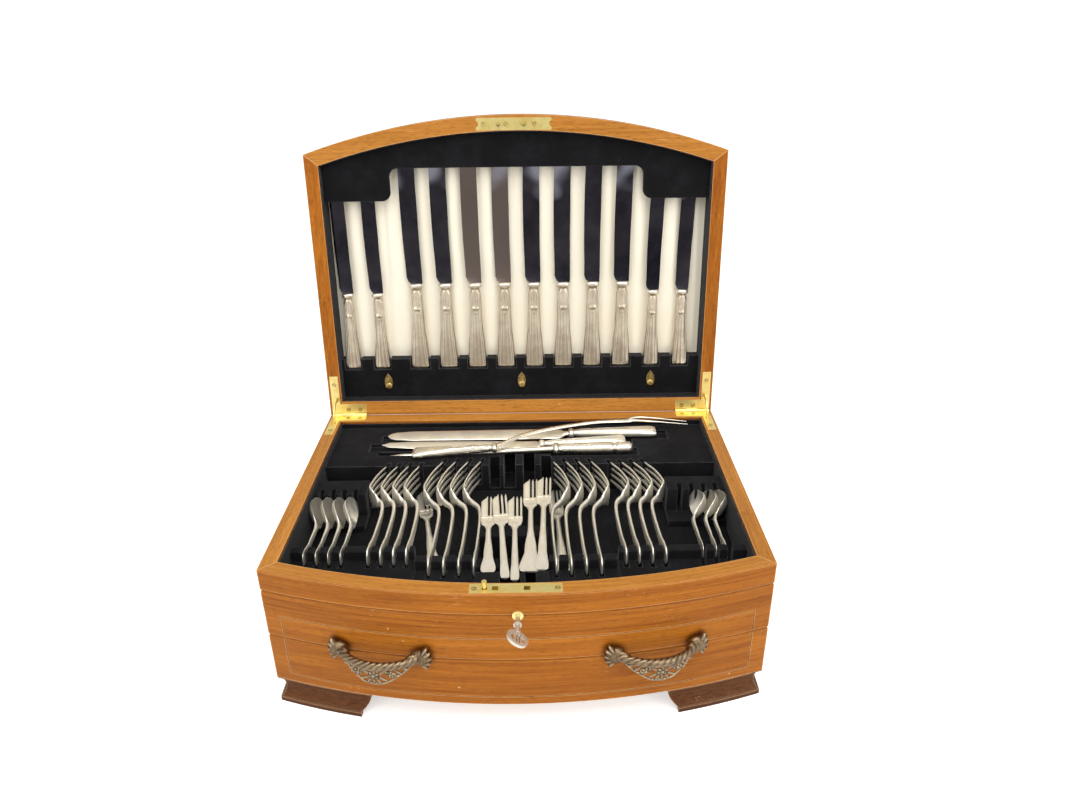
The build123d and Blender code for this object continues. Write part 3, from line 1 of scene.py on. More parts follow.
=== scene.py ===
# %% [markdown]
# # A bow-front silverware chest, open
# The wooden case, its fittings and its racks come from a imported CAD model and keep their places.
# This script gives them their finishes, and makes the cutlery, the cast pulls, the screws and the satin,
# because those are shapes that a sculptor or a silversmith makes and a CAD sketch does not.

import math
import random

import bmesh
import bpy
from mathutils import Matrix, Vector, noise


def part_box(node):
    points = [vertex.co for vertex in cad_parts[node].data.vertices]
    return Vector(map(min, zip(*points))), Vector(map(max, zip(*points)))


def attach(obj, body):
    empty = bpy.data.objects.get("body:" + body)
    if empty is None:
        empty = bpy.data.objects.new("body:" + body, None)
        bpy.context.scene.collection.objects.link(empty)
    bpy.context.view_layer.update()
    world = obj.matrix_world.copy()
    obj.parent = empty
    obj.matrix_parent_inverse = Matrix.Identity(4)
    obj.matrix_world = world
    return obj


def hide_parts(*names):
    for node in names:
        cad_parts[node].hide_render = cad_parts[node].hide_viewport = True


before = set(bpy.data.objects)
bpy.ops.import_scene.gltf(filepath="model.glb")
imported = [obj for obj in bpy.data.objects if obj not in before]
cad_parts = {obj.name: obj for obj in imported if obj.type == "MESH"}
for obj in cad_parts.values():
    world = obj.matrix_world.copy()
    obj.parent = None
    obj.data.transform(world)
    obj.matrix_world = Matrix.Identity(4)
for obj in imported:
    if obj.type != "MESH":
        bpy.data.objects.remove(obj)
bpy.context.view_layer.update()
scene = bpy.context.scene
MM = 0.001

# %% [markdown]
# ## Places read off the frame
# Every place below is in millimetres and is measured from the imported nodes: the rim, the back, and the arc of
# the bowed front. The lid is thought of as shut, and one matrix swings whatever is made for it open.


# %% Measures of the case and the swing of the lid
def box_mm(node):
    """Lowest and highest corner of a CAD node, in millimetres."""
    low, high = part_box(node)
    return low / MM, high / MM


side_low, side_high = box_mm("side_right")
front_low, front_high = box_mm("front_frame")
rim_z, back_y, corner_y, front_y = side_high.z, side_high.y, side_low.y, front_low.y
half_width = front_high.x
bow_rise = corner_y - front_y
bow_radius = (half_width**2 + bow_rise**2) / (2 * bow_rise)
wall_side, wall_front, wall_back = 14.0, 15.0, 16.0
inner_back_y = back_y - wall_back
lid_open_angle = 95.0
lid_base = rim_z + 0.3
first_knife_x, knife_pitch = -112.0, 32.07  # the leftmost table knife, and the step to the next
hinge = Vector((0, back_y, rim_z + 0.15))
open_lid = (
    Matrix.Translation(hinge)
    @ Matrix.Rotation(math.radians(-lid_open_angle), 4, "X")
    @ Matrix.Translation(-hinge)
)


def bow_y(x, inset=0.0):
    """Depth of the bowed front at x, moved in by inset."""
    return front_y + bow_radius - math.sqrt((bow_radius - inset) ** 2 - x * x)


print(f"rim at {rim_z:.1f} mm, bow radius {bow_radius:.1f} mm")

# %% [markdown]
# ## Small helpers
# A piece is gathered as points and faces in millimetres, then turned into one mesh that rides on a CAD body.
# Most of the cutlery is lofted: rings of points are set along a line and skinned.


# %% Gathering shapes
class Shape:
    """Points and faces of one piece, gathered part by part."""

    def __init__(self):
        self.points, self.faces = [], []

    def loft(self, rings, caps=True):
        """Skins closed rings of equal point counts; caps closes both ends."""
        base, n = len(self.points), len(rings[0])
        for ring in rings:
            self.points += [Vector(p) for p in ring]
        for i in range(len(rings) - 1):
            for j in range(n):
                a, b = base + i * n + j, base + i * n + (j + 1) % n
                self.faces.append((a, b, b + n, a + n))
        if caps:
            self.faces.append(tuple(base + j for j in reversed(range(n))))
            self.faces.append(tuple(base + (len(rings) - 1) * n + j for j in range(n)))

    def moved(self, matrix):
        """The same shape carried by a matrix."""
        self.points = [matrix @ p for p in self.points]
        return self


# %% Making pieces
def make_piece(name, shape, body, material, stands_for=(), sharp=35.0):
    """Turns a gathered shape into a mesh piece that rides on a body."""
    mesh = bpy.data.meshes.new(name)
    mesh.from_pydata([p * MM for p in shape.points], [], shape.faces)
    bm = bmesh.new()
    bm.from_mesh(mesh)
    bmesh.ops.remove_doubles(bm, verts=bm.verts, dist=1e-7)
    bmesh.ops.recalc_face_normals(bm, faces=bm.faces)
    bm.to_mesh(mesh)
    bm.free()
    return finish_piece(name, mesh, body, material, stands_for, sharp)


def finish_piece(name, mesh, body, material, stands_for=(), sharp=35.0):
    """Links a mesh as a shaded piece that rides on a body."""
    mesh.shade_smooth()
    mesh.set_sharp_from_angle(angle=math.radians(sharp))
    mesh.materials.clear()
    mesh.materials.append(material)
    piece = bpy.data.objects.new(name, mesh)
    scene.collection.objects.link(piece)
    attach(piece, body)
    if stands_for:
        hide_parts(*stands_for)
    print(f"{name}: {len(mesh.polygons)} faces")
    return piece


# %% Curves, eased values and rings
def smooth_path(points, steps):
    """Points of a Catmull-Rom curve through the given points, evenly many on each span."""
    points = [Vector(p) for p in points]
    run = [points[0] * 2 - points[1]] + points + [points[-1] * 2 - points[-2]]
    out = []
    for i in range(1, len(run) - 2):
        a, b, c, d = run[i - 1], run[i], run[i + 1], run[i + 2]
        for k in range(steps):
            t = k / steps
            out.append(
                0.5 * (2 * b + (c - a) * t + (2 * a - 5 * b + 4 * c - d) * t**2 + (3 * b - a - 3 * c + d) * t**3)
            )
    return out + [points[-1]]


def ramp(x, *pairs):
    """A value eased between (place, value) pairs."""
    if x <= pairs[0][0]:
        return pairs[0][1]
    for (x0, y0), (x1, y1) in zip(pairs, pairs[1:]):
        if x <= x1:
            t = (x - x0) / (x1 - x0)
            t = t * t * (3 - 2 * t)
            return y0 + (y1 - y0) * t
    return pairs[-1][1]


def oval(k, n, power=1.0):
    """Across and up, from -1 to 1, of point k of n on a ring; a power under 1 squares its corners."""
    angle = 2 * math.pi * k / n
    c, s = math.cos(angle), math.sin(angle)
    return math.copysign(abs(c) ** power, c), math.copysign(abs(s) ** power, s)


# %% [markdown]
# ## Shader groups
# Several finishes share an effect, so each effect is built once as a node group with named sockets: a wood
# figure of long streaks and short pores, grain that follows the bow, fine scratches, the rubbed look of outer
# edges, which on the wood is also a painted highlight, painted shade in crevices, and scattered specks.


# %% A short way to build node trees
def node(tree, kind, **settings):
    """Adds a node and sets its plain properties or its input defaults."""
    made = tree.nodes.new(kind)
    for key, value in settings.items():
        if hasattr(made, key):
            setattr(made, key, value)
        else:
            made.inputs[key.replace("_", " ")].default_value = value
    return made


def new_group(name, inputs, outputs):
    """An empty shader group with named sockets; inputs are (name, kind, default)."""
    tree = bpy.data.node_groups.new(name, "ShaderNodeTree")
    for label, kind, default in inputs:
        socket = tree.interface.new_socket(label, in_out="INPUT", socket_type=kind)
        if default is not None:
            socket.default_value = default
    for label, kind in outputs:
        tree.interface.new_socket(label, in_out="OUTPUT", socket_type=kind)
    return tree, tree.nodes.new("NodeGroupInput"), tree.nodes.new("NodeGroupOutput")


def math_node(tree, operation, a, b=None, clamp=False):
    """A Math node fed by sockets or numbers; returns its output."""
    made = tree.nodes.new("ShaderNodeMath")
    made.operation, made.use_clamp = operation, clamp
    for i, value in enumerate((a, b)):
        if value is None:
            continue
        if isinstance(value, (int, float)):
            made.inputs[i].default_value = value
        else:
            tree.links.new(value, made.inputs[i])
    return made.outputs[0]


def spread(tree, value, low, high):
    """A value spread from low..high to 0..1, held at both ends."""
    made = tree.nodes.new("ShaderNodeMapRange")
    made.clamp = True
    tree.links.new(value, made.inputs["Value"])
    made.inputs["From Min"].default_value, made.inputs["From Max"].default_value = low, high
    return made.outputs["Result"]


# %% Wood figure: streaks along X, pores, and slow changes of tone
wood_figure, gin, gout = new_group(
    "wood_figure",
    [("Vector", "NodeSocketVector", None), ("Seed", "NodeSocketFloat", 0.0)],
    [("Tone", "NodeSocketFloat"), ("Pores", "NodeSocketFloat"), ("Height", "NodeSocketFloat")],
)
shift = node(wood_figure, "ShaderNodeVectorMath", operation="ADD")
wood_figure.links.new(gin.outputs["Vector"], shift.inputs[0])
wood_figure.links.new(gin.outputs["Seed"], shift.inputs[1])


def stretched_noise(along, across, detail, distortion=0.0):
    """Noise drawn out along X: along and across are features per metre."""
    stretch = node(wood_figure, "ShaderNodeVectorMath", operation="MULTIPLY")
    stretch.inputs[1].default_value = (along, across, across)
    wood_figure.links.new(shift.outputs[0], stretch.inputs[0])
    made = node(wood_figure, "ShaderNodeTexNoise", Scale=1.0, Detail=detail, Roughness=0.55, Distortion=distortion)
    wood_figure.links.new(stretch.outputs[0], made.inputs["Vector"])
    return made.outputs["Fac"]


slow = stretched_noise(2.0, 36.0, 2.0, 0.15)
streaks = stretched_noise(14.0, 520.0, 4.0)
pores = stretched_noise(120.0, 1500.0, 2.0)
tone = math_node(
    wood_figure, "ADD",
    math_node(wood_figure, "MULTIPLY", slow, 0.42), math_node(wood_figure, "MULTIPLY", streaks, 0.58),
)
wood_figure.links.new(spread(wood_figure, tone, 0.32, 0.66), gout.inputs["Tone"])
pore_mask = spread(wood_figure, pores, 0.54, 0.70)
wood_figure.links.new(pore_mask, gout.inputs["Pores"])
wood_figure.links.new(math_node(wood_figure, "SUBTRACT", streaks, pore_mask), gout.inputs["Height"])

# %% Straightening: grain that follows the bowed front
follow_bow, gin, gout = new_group(
    "follow_bow",
    [("Vector", "NodeSocketVector", None), ("Radius", "NodeSocketFloat", 0.66)],
    [("Vector", "NodeSocketVector")],
)
parts = node(follow_bow, "ShaderNodeSeparateXYZ")
follow_bow.links.new(gin.outputs["Vector"], parts.inputs[0])
squared = math_node(follow_bow, "MULTIPLY", gin.outputs["Radius"], gin.outputs["Radius"])
across = math_node(follow_bow, "MULTIPLY", parts.outputs["X"], parts.outputs["X"])
chord = math_node(follow_bow, "SUBTRACT", squared, across)
fall = math_node(follow_bow, "SUBTRACT", gin.outputs["Radius"], math_node(follow_bow, "SQRT", chord))
joined = node(follow_bow, "ShaderNodeCombineXYZ")
follow_bow.links.new(parts.outputs["X"], joined.inputs["X"])
follow_bow.links.new(math_node(follow_bow, "SUBTRACT", parts.outputs["Y"], fall), joined.inputs["Y"])
follow_bow.links.new(parts.outputs["Z"], joined.inputs["Z"])
follow_bow.links.new(joined.outputs[0], gout.inputs["Vector"])

# %% Scratches: a few short slanting strokes, gathered in patches
scratches, gin, gout = new_group(
    "scratches", [("Slant", "NodeSocketVector", (0.3, 0.9, 0.5))], [("Mask", "NodeSocketFloat")]
)
coordinates = node(scratches, "ShaderNodeTexCoord")
slanted = node(scratches, "ShaderNodeMapping")
scratches.links.new(coordinates.outputs["Object"], slanted.inputs["Vector"])
scratches.links.new(gin.outputs["Slant"], slanted.inputs["Rotation"])
slanted.inputs["Scale"].default_value = (70.0, 1400.0, 1400.0)
strokes = node(scratches, "ShaderNodeTexNoise", Scale=1.0, Detail=1.0)
scratches.links.new(slanted.outputs["Vector"], strokes.inputs["Vector"])
patches = node(scratches, "ShaderNodeTexNoise", Scale=24.0, Detail=1.0)
scratches.links.new(coordinates.outputs["Object"], patches.inputs["Vector"])
here = spread(scratches, patches.outputs["Fac"], 0.60, 0.66)
fine = spread(scratches, strokes.outputs["Fac"], 0.70, 0.73)
scratches.links.new(math_node(scratches, "MULTIPLY", fine, here), gout.inputs["Mask"])

# %% Rubbed and lit edges: where a bevelled normal leaves the true one; a mask for wear, and on the wood also for a painted highlight
rubbed_and_lit_edges, gin, gout = new_group(
    "rubbed_and_lit_edges",
    [("Width", "NodeSocketFloat", 0.001), ("Break Up", "NodeSocketFloat", 60.0), ("Least", "NodeSocketFloat", 0.3)],
    [("Mask", "NodeSocketFloat")],
)
bevel = node(rubbed_and_lit_edges, "ShaderNodeBevel", samples=6)
rubbed_and_lit_edges.links.new(gin.outputs["Width"], bevel.inputs["Radius"])
facing = node(rubbed_and_lit_edges, "ShaderNodeNewGeometry")
dot = node(rubbed_and_lit_edges, "ShaderNodeVectorMath", operation="DOT_PRODUCT")
rubbed_and_lit_edges.links.new(bevel.outputs["Normal"], dot.inputs[0])
rubbed_and_lit_edges.links.new(facing.outputs["Normal"], dot.inputs[1])
coordinates = node(rubbed_and_lit_edges, "ShaderNodeTexCoord")
patchy = node(rubbed_and_lit_edges, "ShaderNodeTexNoise", Detail=4.0, Roughness=0.7)
rubbed_and_lit_edges.links.new(coordinates.outputs["Object"], patchy.inputs["Vector"])
rubbed_and_lit_edges.links.new(gin.outputs["Break Up"], patchy.inputs["Scale"])
edge = spread(rubbed_and_lit_edges, math_node(rubbed_and_lit_edges, "SUBTRACT", 1.0, dot.outputs["Value"]), 0.02, 0.16)
broken = math_node(rubbed_and_lit_edges, "SUBTRACT", patchy.outputs["Fac"], gin.outputs["Least"])
broken = math_node(rubbed_and_lit_edges, "MULTIPLY", broken, 6.0, clamp=True)
rubbed_and_lit_edges.links.new(math_node(rubbed_and_lit_edges, "MULTIPLY", edge, broken, clamp=True), gout.inputs["Mask"])

# %% Crevice shade: a mask for painted shade where near surfaces close a place in, as in a groove
crevice_shade, gin, gout = new_group("crevice_shade", [("Distance", "NodeSocketFloat", 0.003)], [("Mask", "NodeSocketFloat")])
closed_in = node(crevice_shade, "ShaderNodeAmbientOcclusion", samples=8)
crevice_shade.links.new(gin.outputs["Distance"], closed_in.inputs["Distance"])
open_share = spread(crevice_shade, closed_in.outputs["AO"], 0.38, 0.88)
crevice_shade.links.new(math_node(crevice_shade, "SUBTRACT", 1.0, open_share), gout.inputs["Mask"])

# %% Specks: scattered small spots, for dust, lint and chips
specks, gin, gout = new_group(
    "specks",
    [("Scale", "NodeSocketFloat", 300.0), ("Size", "NodeSocketFloat", 0.12), ("Share", "NodeSocketFloat", 0.35)],
    [("Mask", "NodeSocketFloat")],
)
coordinates = node(specks, "ShaderNodeTexCoord")
ragged = node(specks, "ShaderNodeTexNoise", Scale=900.0, Detail=2.0)
specks.links.new(coordinates.outputs["Object"], ragged.inputs["Vector"])
shove = node(specks, "ShaderNodeVectorMath", operation="SCALE")
shove.inputs["Scale"].default_value = 0.0022
specks.links.new(ragged.outputs["Color"], shove.inputs[0])
moved = node(specks, "ShaderNodeVectorMath", operation="ADD")
specks.links.new(coordinates.outputs["Object"], moved.inputs[0])
specks.links.new(shove.outputs[0], moved.inputs[1])
cells = node(specks, "ShaderNodeTexVoronoi")
specks.links.new(moved.outputs[0], cells.inputs["Vector"])
specks.links.new(gin.outputs["Scale"], cells.inputs["Scale"])
chosen = node(specks, "ShaderNodeTexWhiteNoise")
specks.links.new(cells.outputs["Position"], chosen.inputs["Vector"])
near = math_node(specks, "LESS_THAN", cells.outputs["Distance"], gin.outputs["Size"])
some = math_node(specks, "LESS_THAN", chosen.outputs["Value"], gin.outputs["Share"])
specks.links.new(math_node(specks, "MULTIPLY", near, some), gout.inputs["Mask"])
print("shader groups:", [g.name for g in bpy.data.node_groups])

# %% [markdown]
# ## Finishes
# The veneer is a warm golden brown under an old satin varnish, paler where edges have rubbed, and that pale edge
# tint also stands as a painted highlight along edges and groove lips. The grain follows each board's length, so one
# function makes the wood for a given direction. The faces of the rims, where case and lid meet, are painted paler:
# a painted highlight for the light that falls on them.


# %% A material with its Principled shader
def new_material(name, **settings):
    """A material; settings go to the Principled shader's own sockets."""
    material = bpy.data.materials.new(name)
    material.use_nodes = True
    tree = material.node_tree
    shader = tree.nodes["Principled BSDF"]
    for key, value in settings.items():
        shader.inputs[key.replace("_", " ")].default_value = value
    return material, tree, shader


def group_node(tree, group, **values):
    """Places a shader group and sets its inputs."""
    made = tree.nodes.new("ShaderNodeGroup")
    made.node_tree = group
    for key, value in values.items():
        made.inputs[key.replace("_", " ")].default_value = value
    return made


def mix_colour(tree, factor, a, b):
    """Mixes two colours, each a socket or an RGB tuple; returns the output."""
    made = tree.nodes.new("ShaderNodeMix")
    made.data_type = "RGBA"
    tree.links.new(factor, made.inputs["Factor"])
    for label, value in (("A", a), ("B", b)):
        socket = next(s for s in made.inputs if s.name == label and s.type == "RGBA")
        if isinstance(value, tuple):
            socket.default_value = (*value, 1.0)
        else:
            tree.links.new(value, socket)
    return next(s for s in made.outputs if s.type == "RGBA")


def laid_over(tree, colour, mask, share, tint):
    """A tint over a colour where a mask shows, as strongly as share says."""
    return mix_colour(tree, math_node(tree, "MULTIPLY", mask, share), colour, tint)


def colour_feed(tree, shader):
    """The socket that feeds the shader's base colour."""
    return next(link.from_socket for link in tree.links if link.to_socket == shader.inputs["Base Color"])


def bump(tree, shader, height, distance, strength):
    """Feeds a height to the shader's normal."""
    made = node(tree, "ShaderNodeBump", Strength=strength, Distance=distance)
    tree.links.new(height, made.inputs["Height"])
    tree.links.new(made.outputs["Normal"], shader.inputs["Normal"])


GRAIN_TURN = {"X": (0, 0, 0), "Y": (0, 0, math.pi / 2), "Z": (0, math.pi / 2, 0)}


def wood(name, grain, dark, light, pore_and_shade, wear_and_highlight, seed, gloss=0.36, chips=0.085, bowed=False, rim=None):
    """Veneer with its grain along one axis, pale at the edges from rubbing and a painted highlight; rim is (direction,
    dark, light) of a painted highlight on the faces that look that way.
    """
    material, tree, shader = new_material(name, Roughness=gloss, Specular_IOR_Level=0.14)
    place = node(tree, "ShaderNodeTexCoord")
    turn = node(tree, "ShaderNodeMapping")
    turn.inputs["Rotation"].default_value = GRAIN_TURN[grain]
    straight = place.outputs["Object"]
    if bowed:
        follow = group_node(tree, follow_bow, Radius=bow_radius * MM)
        tree.links.new(straight, follow.inputs["Vector"])
        straight = follow.outputs["Vector"]
    tree.links.new(straight, turn.inputs["Vector"])
    figure = group_node(tree, wood_figure, Seed=seed)
    tree.links.new(turn.outputs["Vector"], figure.inputs["Vector"])
    colour = mix_colour(tree, figure.outputs["Tone"], dark, light)
    # painted highlight: faces that look along rim[0] take paler tones between rim[1] and rim[2]
    if rim:
        towards = node(tree, "ShaderNodeVectorMath", operation="DOT_PRODUCT")
        tree.links.new(place.outputs["Normal"], towards.inputs[0])
        towards.inputs[1].default_value = rim[0]
        lit_face_colour = mix_colour(tree, figure.outputs["Tone"], rim[1], rim[2])
        colour = mix_colour(tree, math_node(tree, "GREATER_THAN", towards.outputs["Value"], 0.8), colour, lit_face_colour)
    colour = laid_over(tree, colour, figure.outputs["Pores"], 0.55, pore_and_shade)
    # pale edges: partly rubbing, partly a painted highlight along the edges and the lips of the grooves
    edges = group_node(tree, rubbed_and_lit_edges, Width=0.0014, Break_Up=60.0, Least=0.28)
    colour = laid_over(tree, colour, edges.outputs["Mask"], 0.75, wear_and_highlight)
    chipped = group_node(tree, specks, Scale=95.0, Size=chips, Share=0.028)
    colour = laid_over(tree, colour, chipped.outputs["Mask"], 0.8, wear_and_highlight)
    scratched = group_node(tree, scratches)
    colour = laid_over(tree, colour, scratched.outputs["Mask"], 0.55, wear_and_highlight)
    # painted shade: the dark pore colour laid into grooves and corners
    groove_shade = group_node(tree, crevice_shade, Distance=0.006)
    colour = laid_over(tree, colour, groove_shade.outputs["Mask"], 0.85, pore_and_shade)
    tree.links.new(colour, shader.inputs["Base Color"])
    bump(tree, shader, figure.outputs["Height"], 0.00012, 0.35)
    return material


# %% The woods of the chest
golden = dict(
    dark=(0.235, 0.064, 0.004), light=(0.465, 0.157, 0.0135), pore_and_shade=(0.11, 0.028, 0.003), wear_and_highlight=(0.76, 0.44, 0.19)
)
# painted highlights: paler tones for the faces of the rims, where light falls; the brighter pair goes on the back board
# and the lid's back rail
lid_rim = open_lid.to_3x3() @ Vector((0, 0, -1))
lit_face_dark, lit_face_light = (0.37, 0.145, 0.022), (0.63, 0.285, 0.055)
lit_face_tones = (0.32, 0.118, 0.016), (0.55, 0.235, 0.042)
back_rim_veneer = wood("back_rim_veneer", "X", seed=1.7, rim=((0, 0, 1), lit_face_dark, lit_face_light), **golden)
lid_back_veneer = wood("lid_back_veneer", "X", seed=2.6, rim=(lid_rim, lit_face_dark, lit_face_light), **golden)
lid_front_veneer = wood("lid_front_veneer", "X", seed=6.2, rim=(lid_rim, *lit_face_tones), **golden)
veneer_across = wood("veneer_across", "X", seed=0.0, **golden)
veneer_deep = wood("veneer_deep", "Y", seed=3.1, rim=((0, 0, 1), *lit_face_tones), **golden)
veneer_up = wood("veneer_up", "Z", seed=7.7, **golden)
front_veneer = wood("front_veneer", "X", seed=4.4, bowed=True, rim=((0, 0, 1), *lit_face_tones), **golden)
drawer_veneer = wood("drawer_veneer", "X", seed=12.3, bowed=True, **golden)
foot_wood = wood(
    "foot_wood", "X", (0.075, 0.023, 0.007), (0.165, 0.060, 0.018), (0.03, 0.008, 0.003), (0.55, 0.36, 0.20), 5.0,
    chips=0.13,
)
pale_wood = wood(
    "pale_wood", "X", (0.50, 0.31, 0.15), (0.64, 0.44, 0.24), (0.36, 0.2, 0.09), (0.7, 0.55, 0.36), 9.0, 0.6
)

# %% [markdown]
# Velvet is nearly black: its pile drinks light, except at the corners, where it has been brushed flat and pale,
# and where lint has settled. Satin is the reverse, a smooth cream cloth that throws light back in soft bands.

# %% Velvet
velvet, tree, shader = new_material(
    "black_velvet", Roughness=0.95, Specular_IOR_Level=0.15, Sheen_Weight=0.10, Sheen_Roughness=0.4
)
edges = group_node(tree, rubbed_and_lit_edges, Width=0.0014, Break_Up=130.0, Least=0.33)
lint = group_node(tree, specks, Scale=420.0, Size=0.10, Share=0.05)
place = node(tree, "ShaderNodeTexCoord")
cloudy = node(tree, "ShaderNodeTexNoise", Scale=26.0, Detail=5.0, Roughness=0.7)
tree.links.new(place.outputs["Object"], cloudy.inputs["Vector"])
clouds = spread(tree, cloudy.outputs["Fac"], 0.45, 0.75)
colour = mix_colour(tree, clouds, (0.0045, 0.0042, 0.005), (0.011, 0.0105, 0.0125))
colour = laid_over(tree, colour, edges.outputs["Mask"], 0.8, (0.105, 0.10, 0.11))
colour = laid_over(tree, colour, lint.outputs["Mask"], 0.8, (0.16, 0.16, 0.17))
tree.links.new(colour, shader.inputs["Base Color"])
pile = node(tree, "ShaderNodeTexNoise", Scale=2600.0, Detail=2.0)
tree.links.new(place.outputs["Object"], pile.inputs["Vector"])
bump(tree, shader, pile.outputs["Fac"], 0.0002, 0.4)

# %% Satin
satin, tree, shader = new_material(
    "cream_satin", Roughness=0.42, Specular_IOR_Level=0.5, Sheen_Weight=0.3, Sheen_Roughness=0.35
)
place = node(tree, "ShaderNodeTexCoord")
cloudy = node(tree, "ShaderNodeTexNoise", Scale=9.0, Detail=3.0)
tree.links.new(place.outputs["Object"], cloudy.inputs["Vector"])
colour = mix_colour(tree, cloudy.outputs["Fac"], (0.86, 0.78, 0.61), (0.91, 0.865, 0.74))
tree.links.new(colour, shader.inputs["Base Color"])

# %% [markdown]
# The metals differ in colour and in how much they blur. Plated silver has a warm white shine with fine smears.
# Blades are polished steel, near black in colour as a painted reflection of dark surroundings, and two of them
# have browned. Sheet brass is bright and a little brushed.
# The pulls are cast and browned: their colour is lighter on the high places, a painted highlight, and darker in
# the hollows, partly patina and partly painted shade.


# %% A metal
def metal(name, low, high, rough_low, rough_high, scale, **settings):
    """A metal whose colour and blur drift between two values."""
    material, tree, shader = new_material(name, Metallic=1.0, **settings)
    place = node(tree, "ShaderNodeTexCoord")
    drift = node(tree, "ShaderNodeTexNoise", Scale=scale, Detail=4.0, Roughness=0.65)
    tree.links.new(place.outputs["Object"], drift.inputs["Vector"])
    share = spread(tree, drift.outputs["Fac"], 0.35, 0.65)
    tree.links.new(mix_colour(tree, share, low, high), shader.inputs["Base Color"])
    rough = node(tree, "ShaderNodeMapRange")
    tree.links.new(share, rough.inputs["Value"])
    rough.inputs["To Min"].default_value, rough.inputs["To Max"].default_value = rough_high, rough_low
    tree.links.new(rough.outputs["Result"], shader.inputs["Roughness"])
    return material, tree, shader


# %% Silver, in two states
silver = metal("plated_silver", (0.86, 0.80, 0.66), (0.97, 0.93, 0.82), 0.24, 0.34, 45.0)[0]
soft_silver, tree, shader = metal("soft_silver", (0.91, 0.85, 0.71), (0.98, 0.95, 0.86), 0.30, 0.42, 70.0)
shader.inputs["Metallic"].default_value = 0.80  # its tarnish scatters light as paint does

# %% Blade steel, near black as a painted reflection of dark surroundings, browned on two knives, with a painted reflection near the tips
# painted reflection: the near-black colours stand for the dark surroundings that polished blades mirror
blade_steel, tree, shader = metal("blade_steel", (0.055, 0.05, 0.06), (0.016, 0.016, 0.024), 0.05, 0.12, 15.0)
place = node(tree, "ShaderNodeTexCoord")
parts = node(tree, "ShaderNodeSeparateXYZ")
tree.links.new(place.outputs["Object"], parts.inputs[0])
third_knife_left = (first_knife_x + 1.5 * knife_pitch) * MM  # halfway to the knife before it
fourth_knife_right = (first_knife_x + 3.5 * knife_pitch) * MM
browned = math_node(
    tree, "MULTIPLY",
    math_node(tree, "GREATER_THAN", parts.outputs["X"], third_knife_left),
    math_node(tree, "LESS_THAN", parts.outputs["X"], fourth_knife_right),
)
colour = laid_over(tree, colour_feed(tree, shader), browned, 0.8, (0.21, 0.165, 0.14))
# painted reflection: pale blue-grey patches on the highest parts of the blades, near their tips
glance = node(tree, "ShaderNodeTexNoise", Scale=30.0, Detail=1.0)
tree.links.new(place.outputs["Object"], glance.inputs["Vector"])
height = math_node(tree, "ADD", parts.outputs["Z"], math_node(tree, "MULTIPLY", glance.outputs["Fac"], 0.06))
shine = math_node(tree, "MULTIPLY", spread(tree, height, 0.415, 0.432), spread(tree, glance.outputs["Fac"], 0.42, 0.60))
colour = laid_over(tree, colour, shine, 0.7, (0.42, 0.42, 0.52))
tree.links.new(colour, shader.inputs["Base Color"])

# %% Brasses and the key
brass = metal("sheet_brass", (0.88, 0.67, 0.22), (1.0, 0.90, 0.40), 0.34, 0.46, 60.0)[0]
aged_brass = metal("aged_brass", (0.56, 0.44, 0.14), (0.76, 0.65, 0.27), 0.34, 0.46, 90.0)[0]
old_brass = metal("old_brass", (0.36, 0.24, 0.08), (0.66, 0.50, 0.20), 0.3, 0.45, 300.0)[0]
key_metal = metal("key_metal", (0.62, 0.56, 0.46), (0.88, 0.84, 0.74), 0.42, 0.55, 160.0)[0]


# %% Metals with darker hollows, partly tarnish and partly painted shade, and painted highlights on their heights
def shade_and_highlight_by_shape(tree, shader, low, high, hollows=None, heights=None):
    """Tints a metal darker in its hollows, partly tarnish and partly painted shade, or lighter on its heights, a
    painted highlight.
    """
    shape_of = node(tree, "ShaderNodeNewGeometry")
    base = colour_feed(tree, shader)
    raised = spread(tree, shape_of.outputs["Pointiness"], low, high)
    tree.links.new(mix_colour(tree, raised, hollows or base, heights or base), shader.inputs["Base Color"])


dull_silver, tree, shader = metal("dull_silver", (0.53, 0.44, 0.33), (0.74, 0.65, 0.50), 0.30, 0.42, 60.0)
# fluted handles: darker hollows, partly tarnish and partly painted shade, and a painted highlight on the ridges
shade_and_highlight_by_shape(tree, shader, 0.44, 0.498, hollows=(0.10, 0.075, 0.055))
shade_and_highlight_by_shape(tree, shader, 0.506, 0.55, heights=(0.96, 0.91, 0.80))
bronze, tree, shader = metal("browned_bronze", (0.12, 0.078, 0.043), (0.25, 0.175, 0.10), 0.33, 0.45, 120.0)
# cast pulls: darker hollows, partly patina and partly painted shade, and a painted highlight on the high places
shade_and_highlight_by_shape(tree, shader, 0.40, 0.50, hollows=(0.035, 0.02, 0.012))
shade_and_highlight_by_shape(tree, shader, 0.505, 0.56, heights=(0.60, 0.50, 0.35))
print("materials:", len(bpy.data.materials))

# %% Finishes given to the CAD nodes
finishes = (
    (front_veneer, ("front_frame",)),
    (veneer_across, ("lid_top_panel",)),
    (back_rim_veneer, ("back_board",)),
    (lid_back_veneer, ("lid_back_rail",)),
    (lid_front_veneer, ("lid_front_rail",)),
    (veneer_deep, ("side_left", "side_right")),
    (veneer_up, ("lid_side_left", "lid_side_right")),
    (drawer_veneer, ("drawer_front",)),
    (foot_wood, ("foot_front_left", "foot_front_right", "foot_rear_left", "foot_rear_right")),
    (pale_wood, ("bottom_board", "tray_floor", "drawer_runners", "drawer_sides", "drawer_back", "drawer_bottom")),
    (velvet, ("tray_lining", "drawer_lining", "lid_wall_pads")),
    (key_metal, ("key",)),
    (aged_brass, ("strike_plate",)),
    (brass, (
        "case_hinge_leaves", "lid_hinge_leaves", "quadrant_link_left", "quadrant_link_right", "lock_plate",
        "lock_case", "lock_bolt", "interlock_pin", "keyhole_bush",
    )),
)
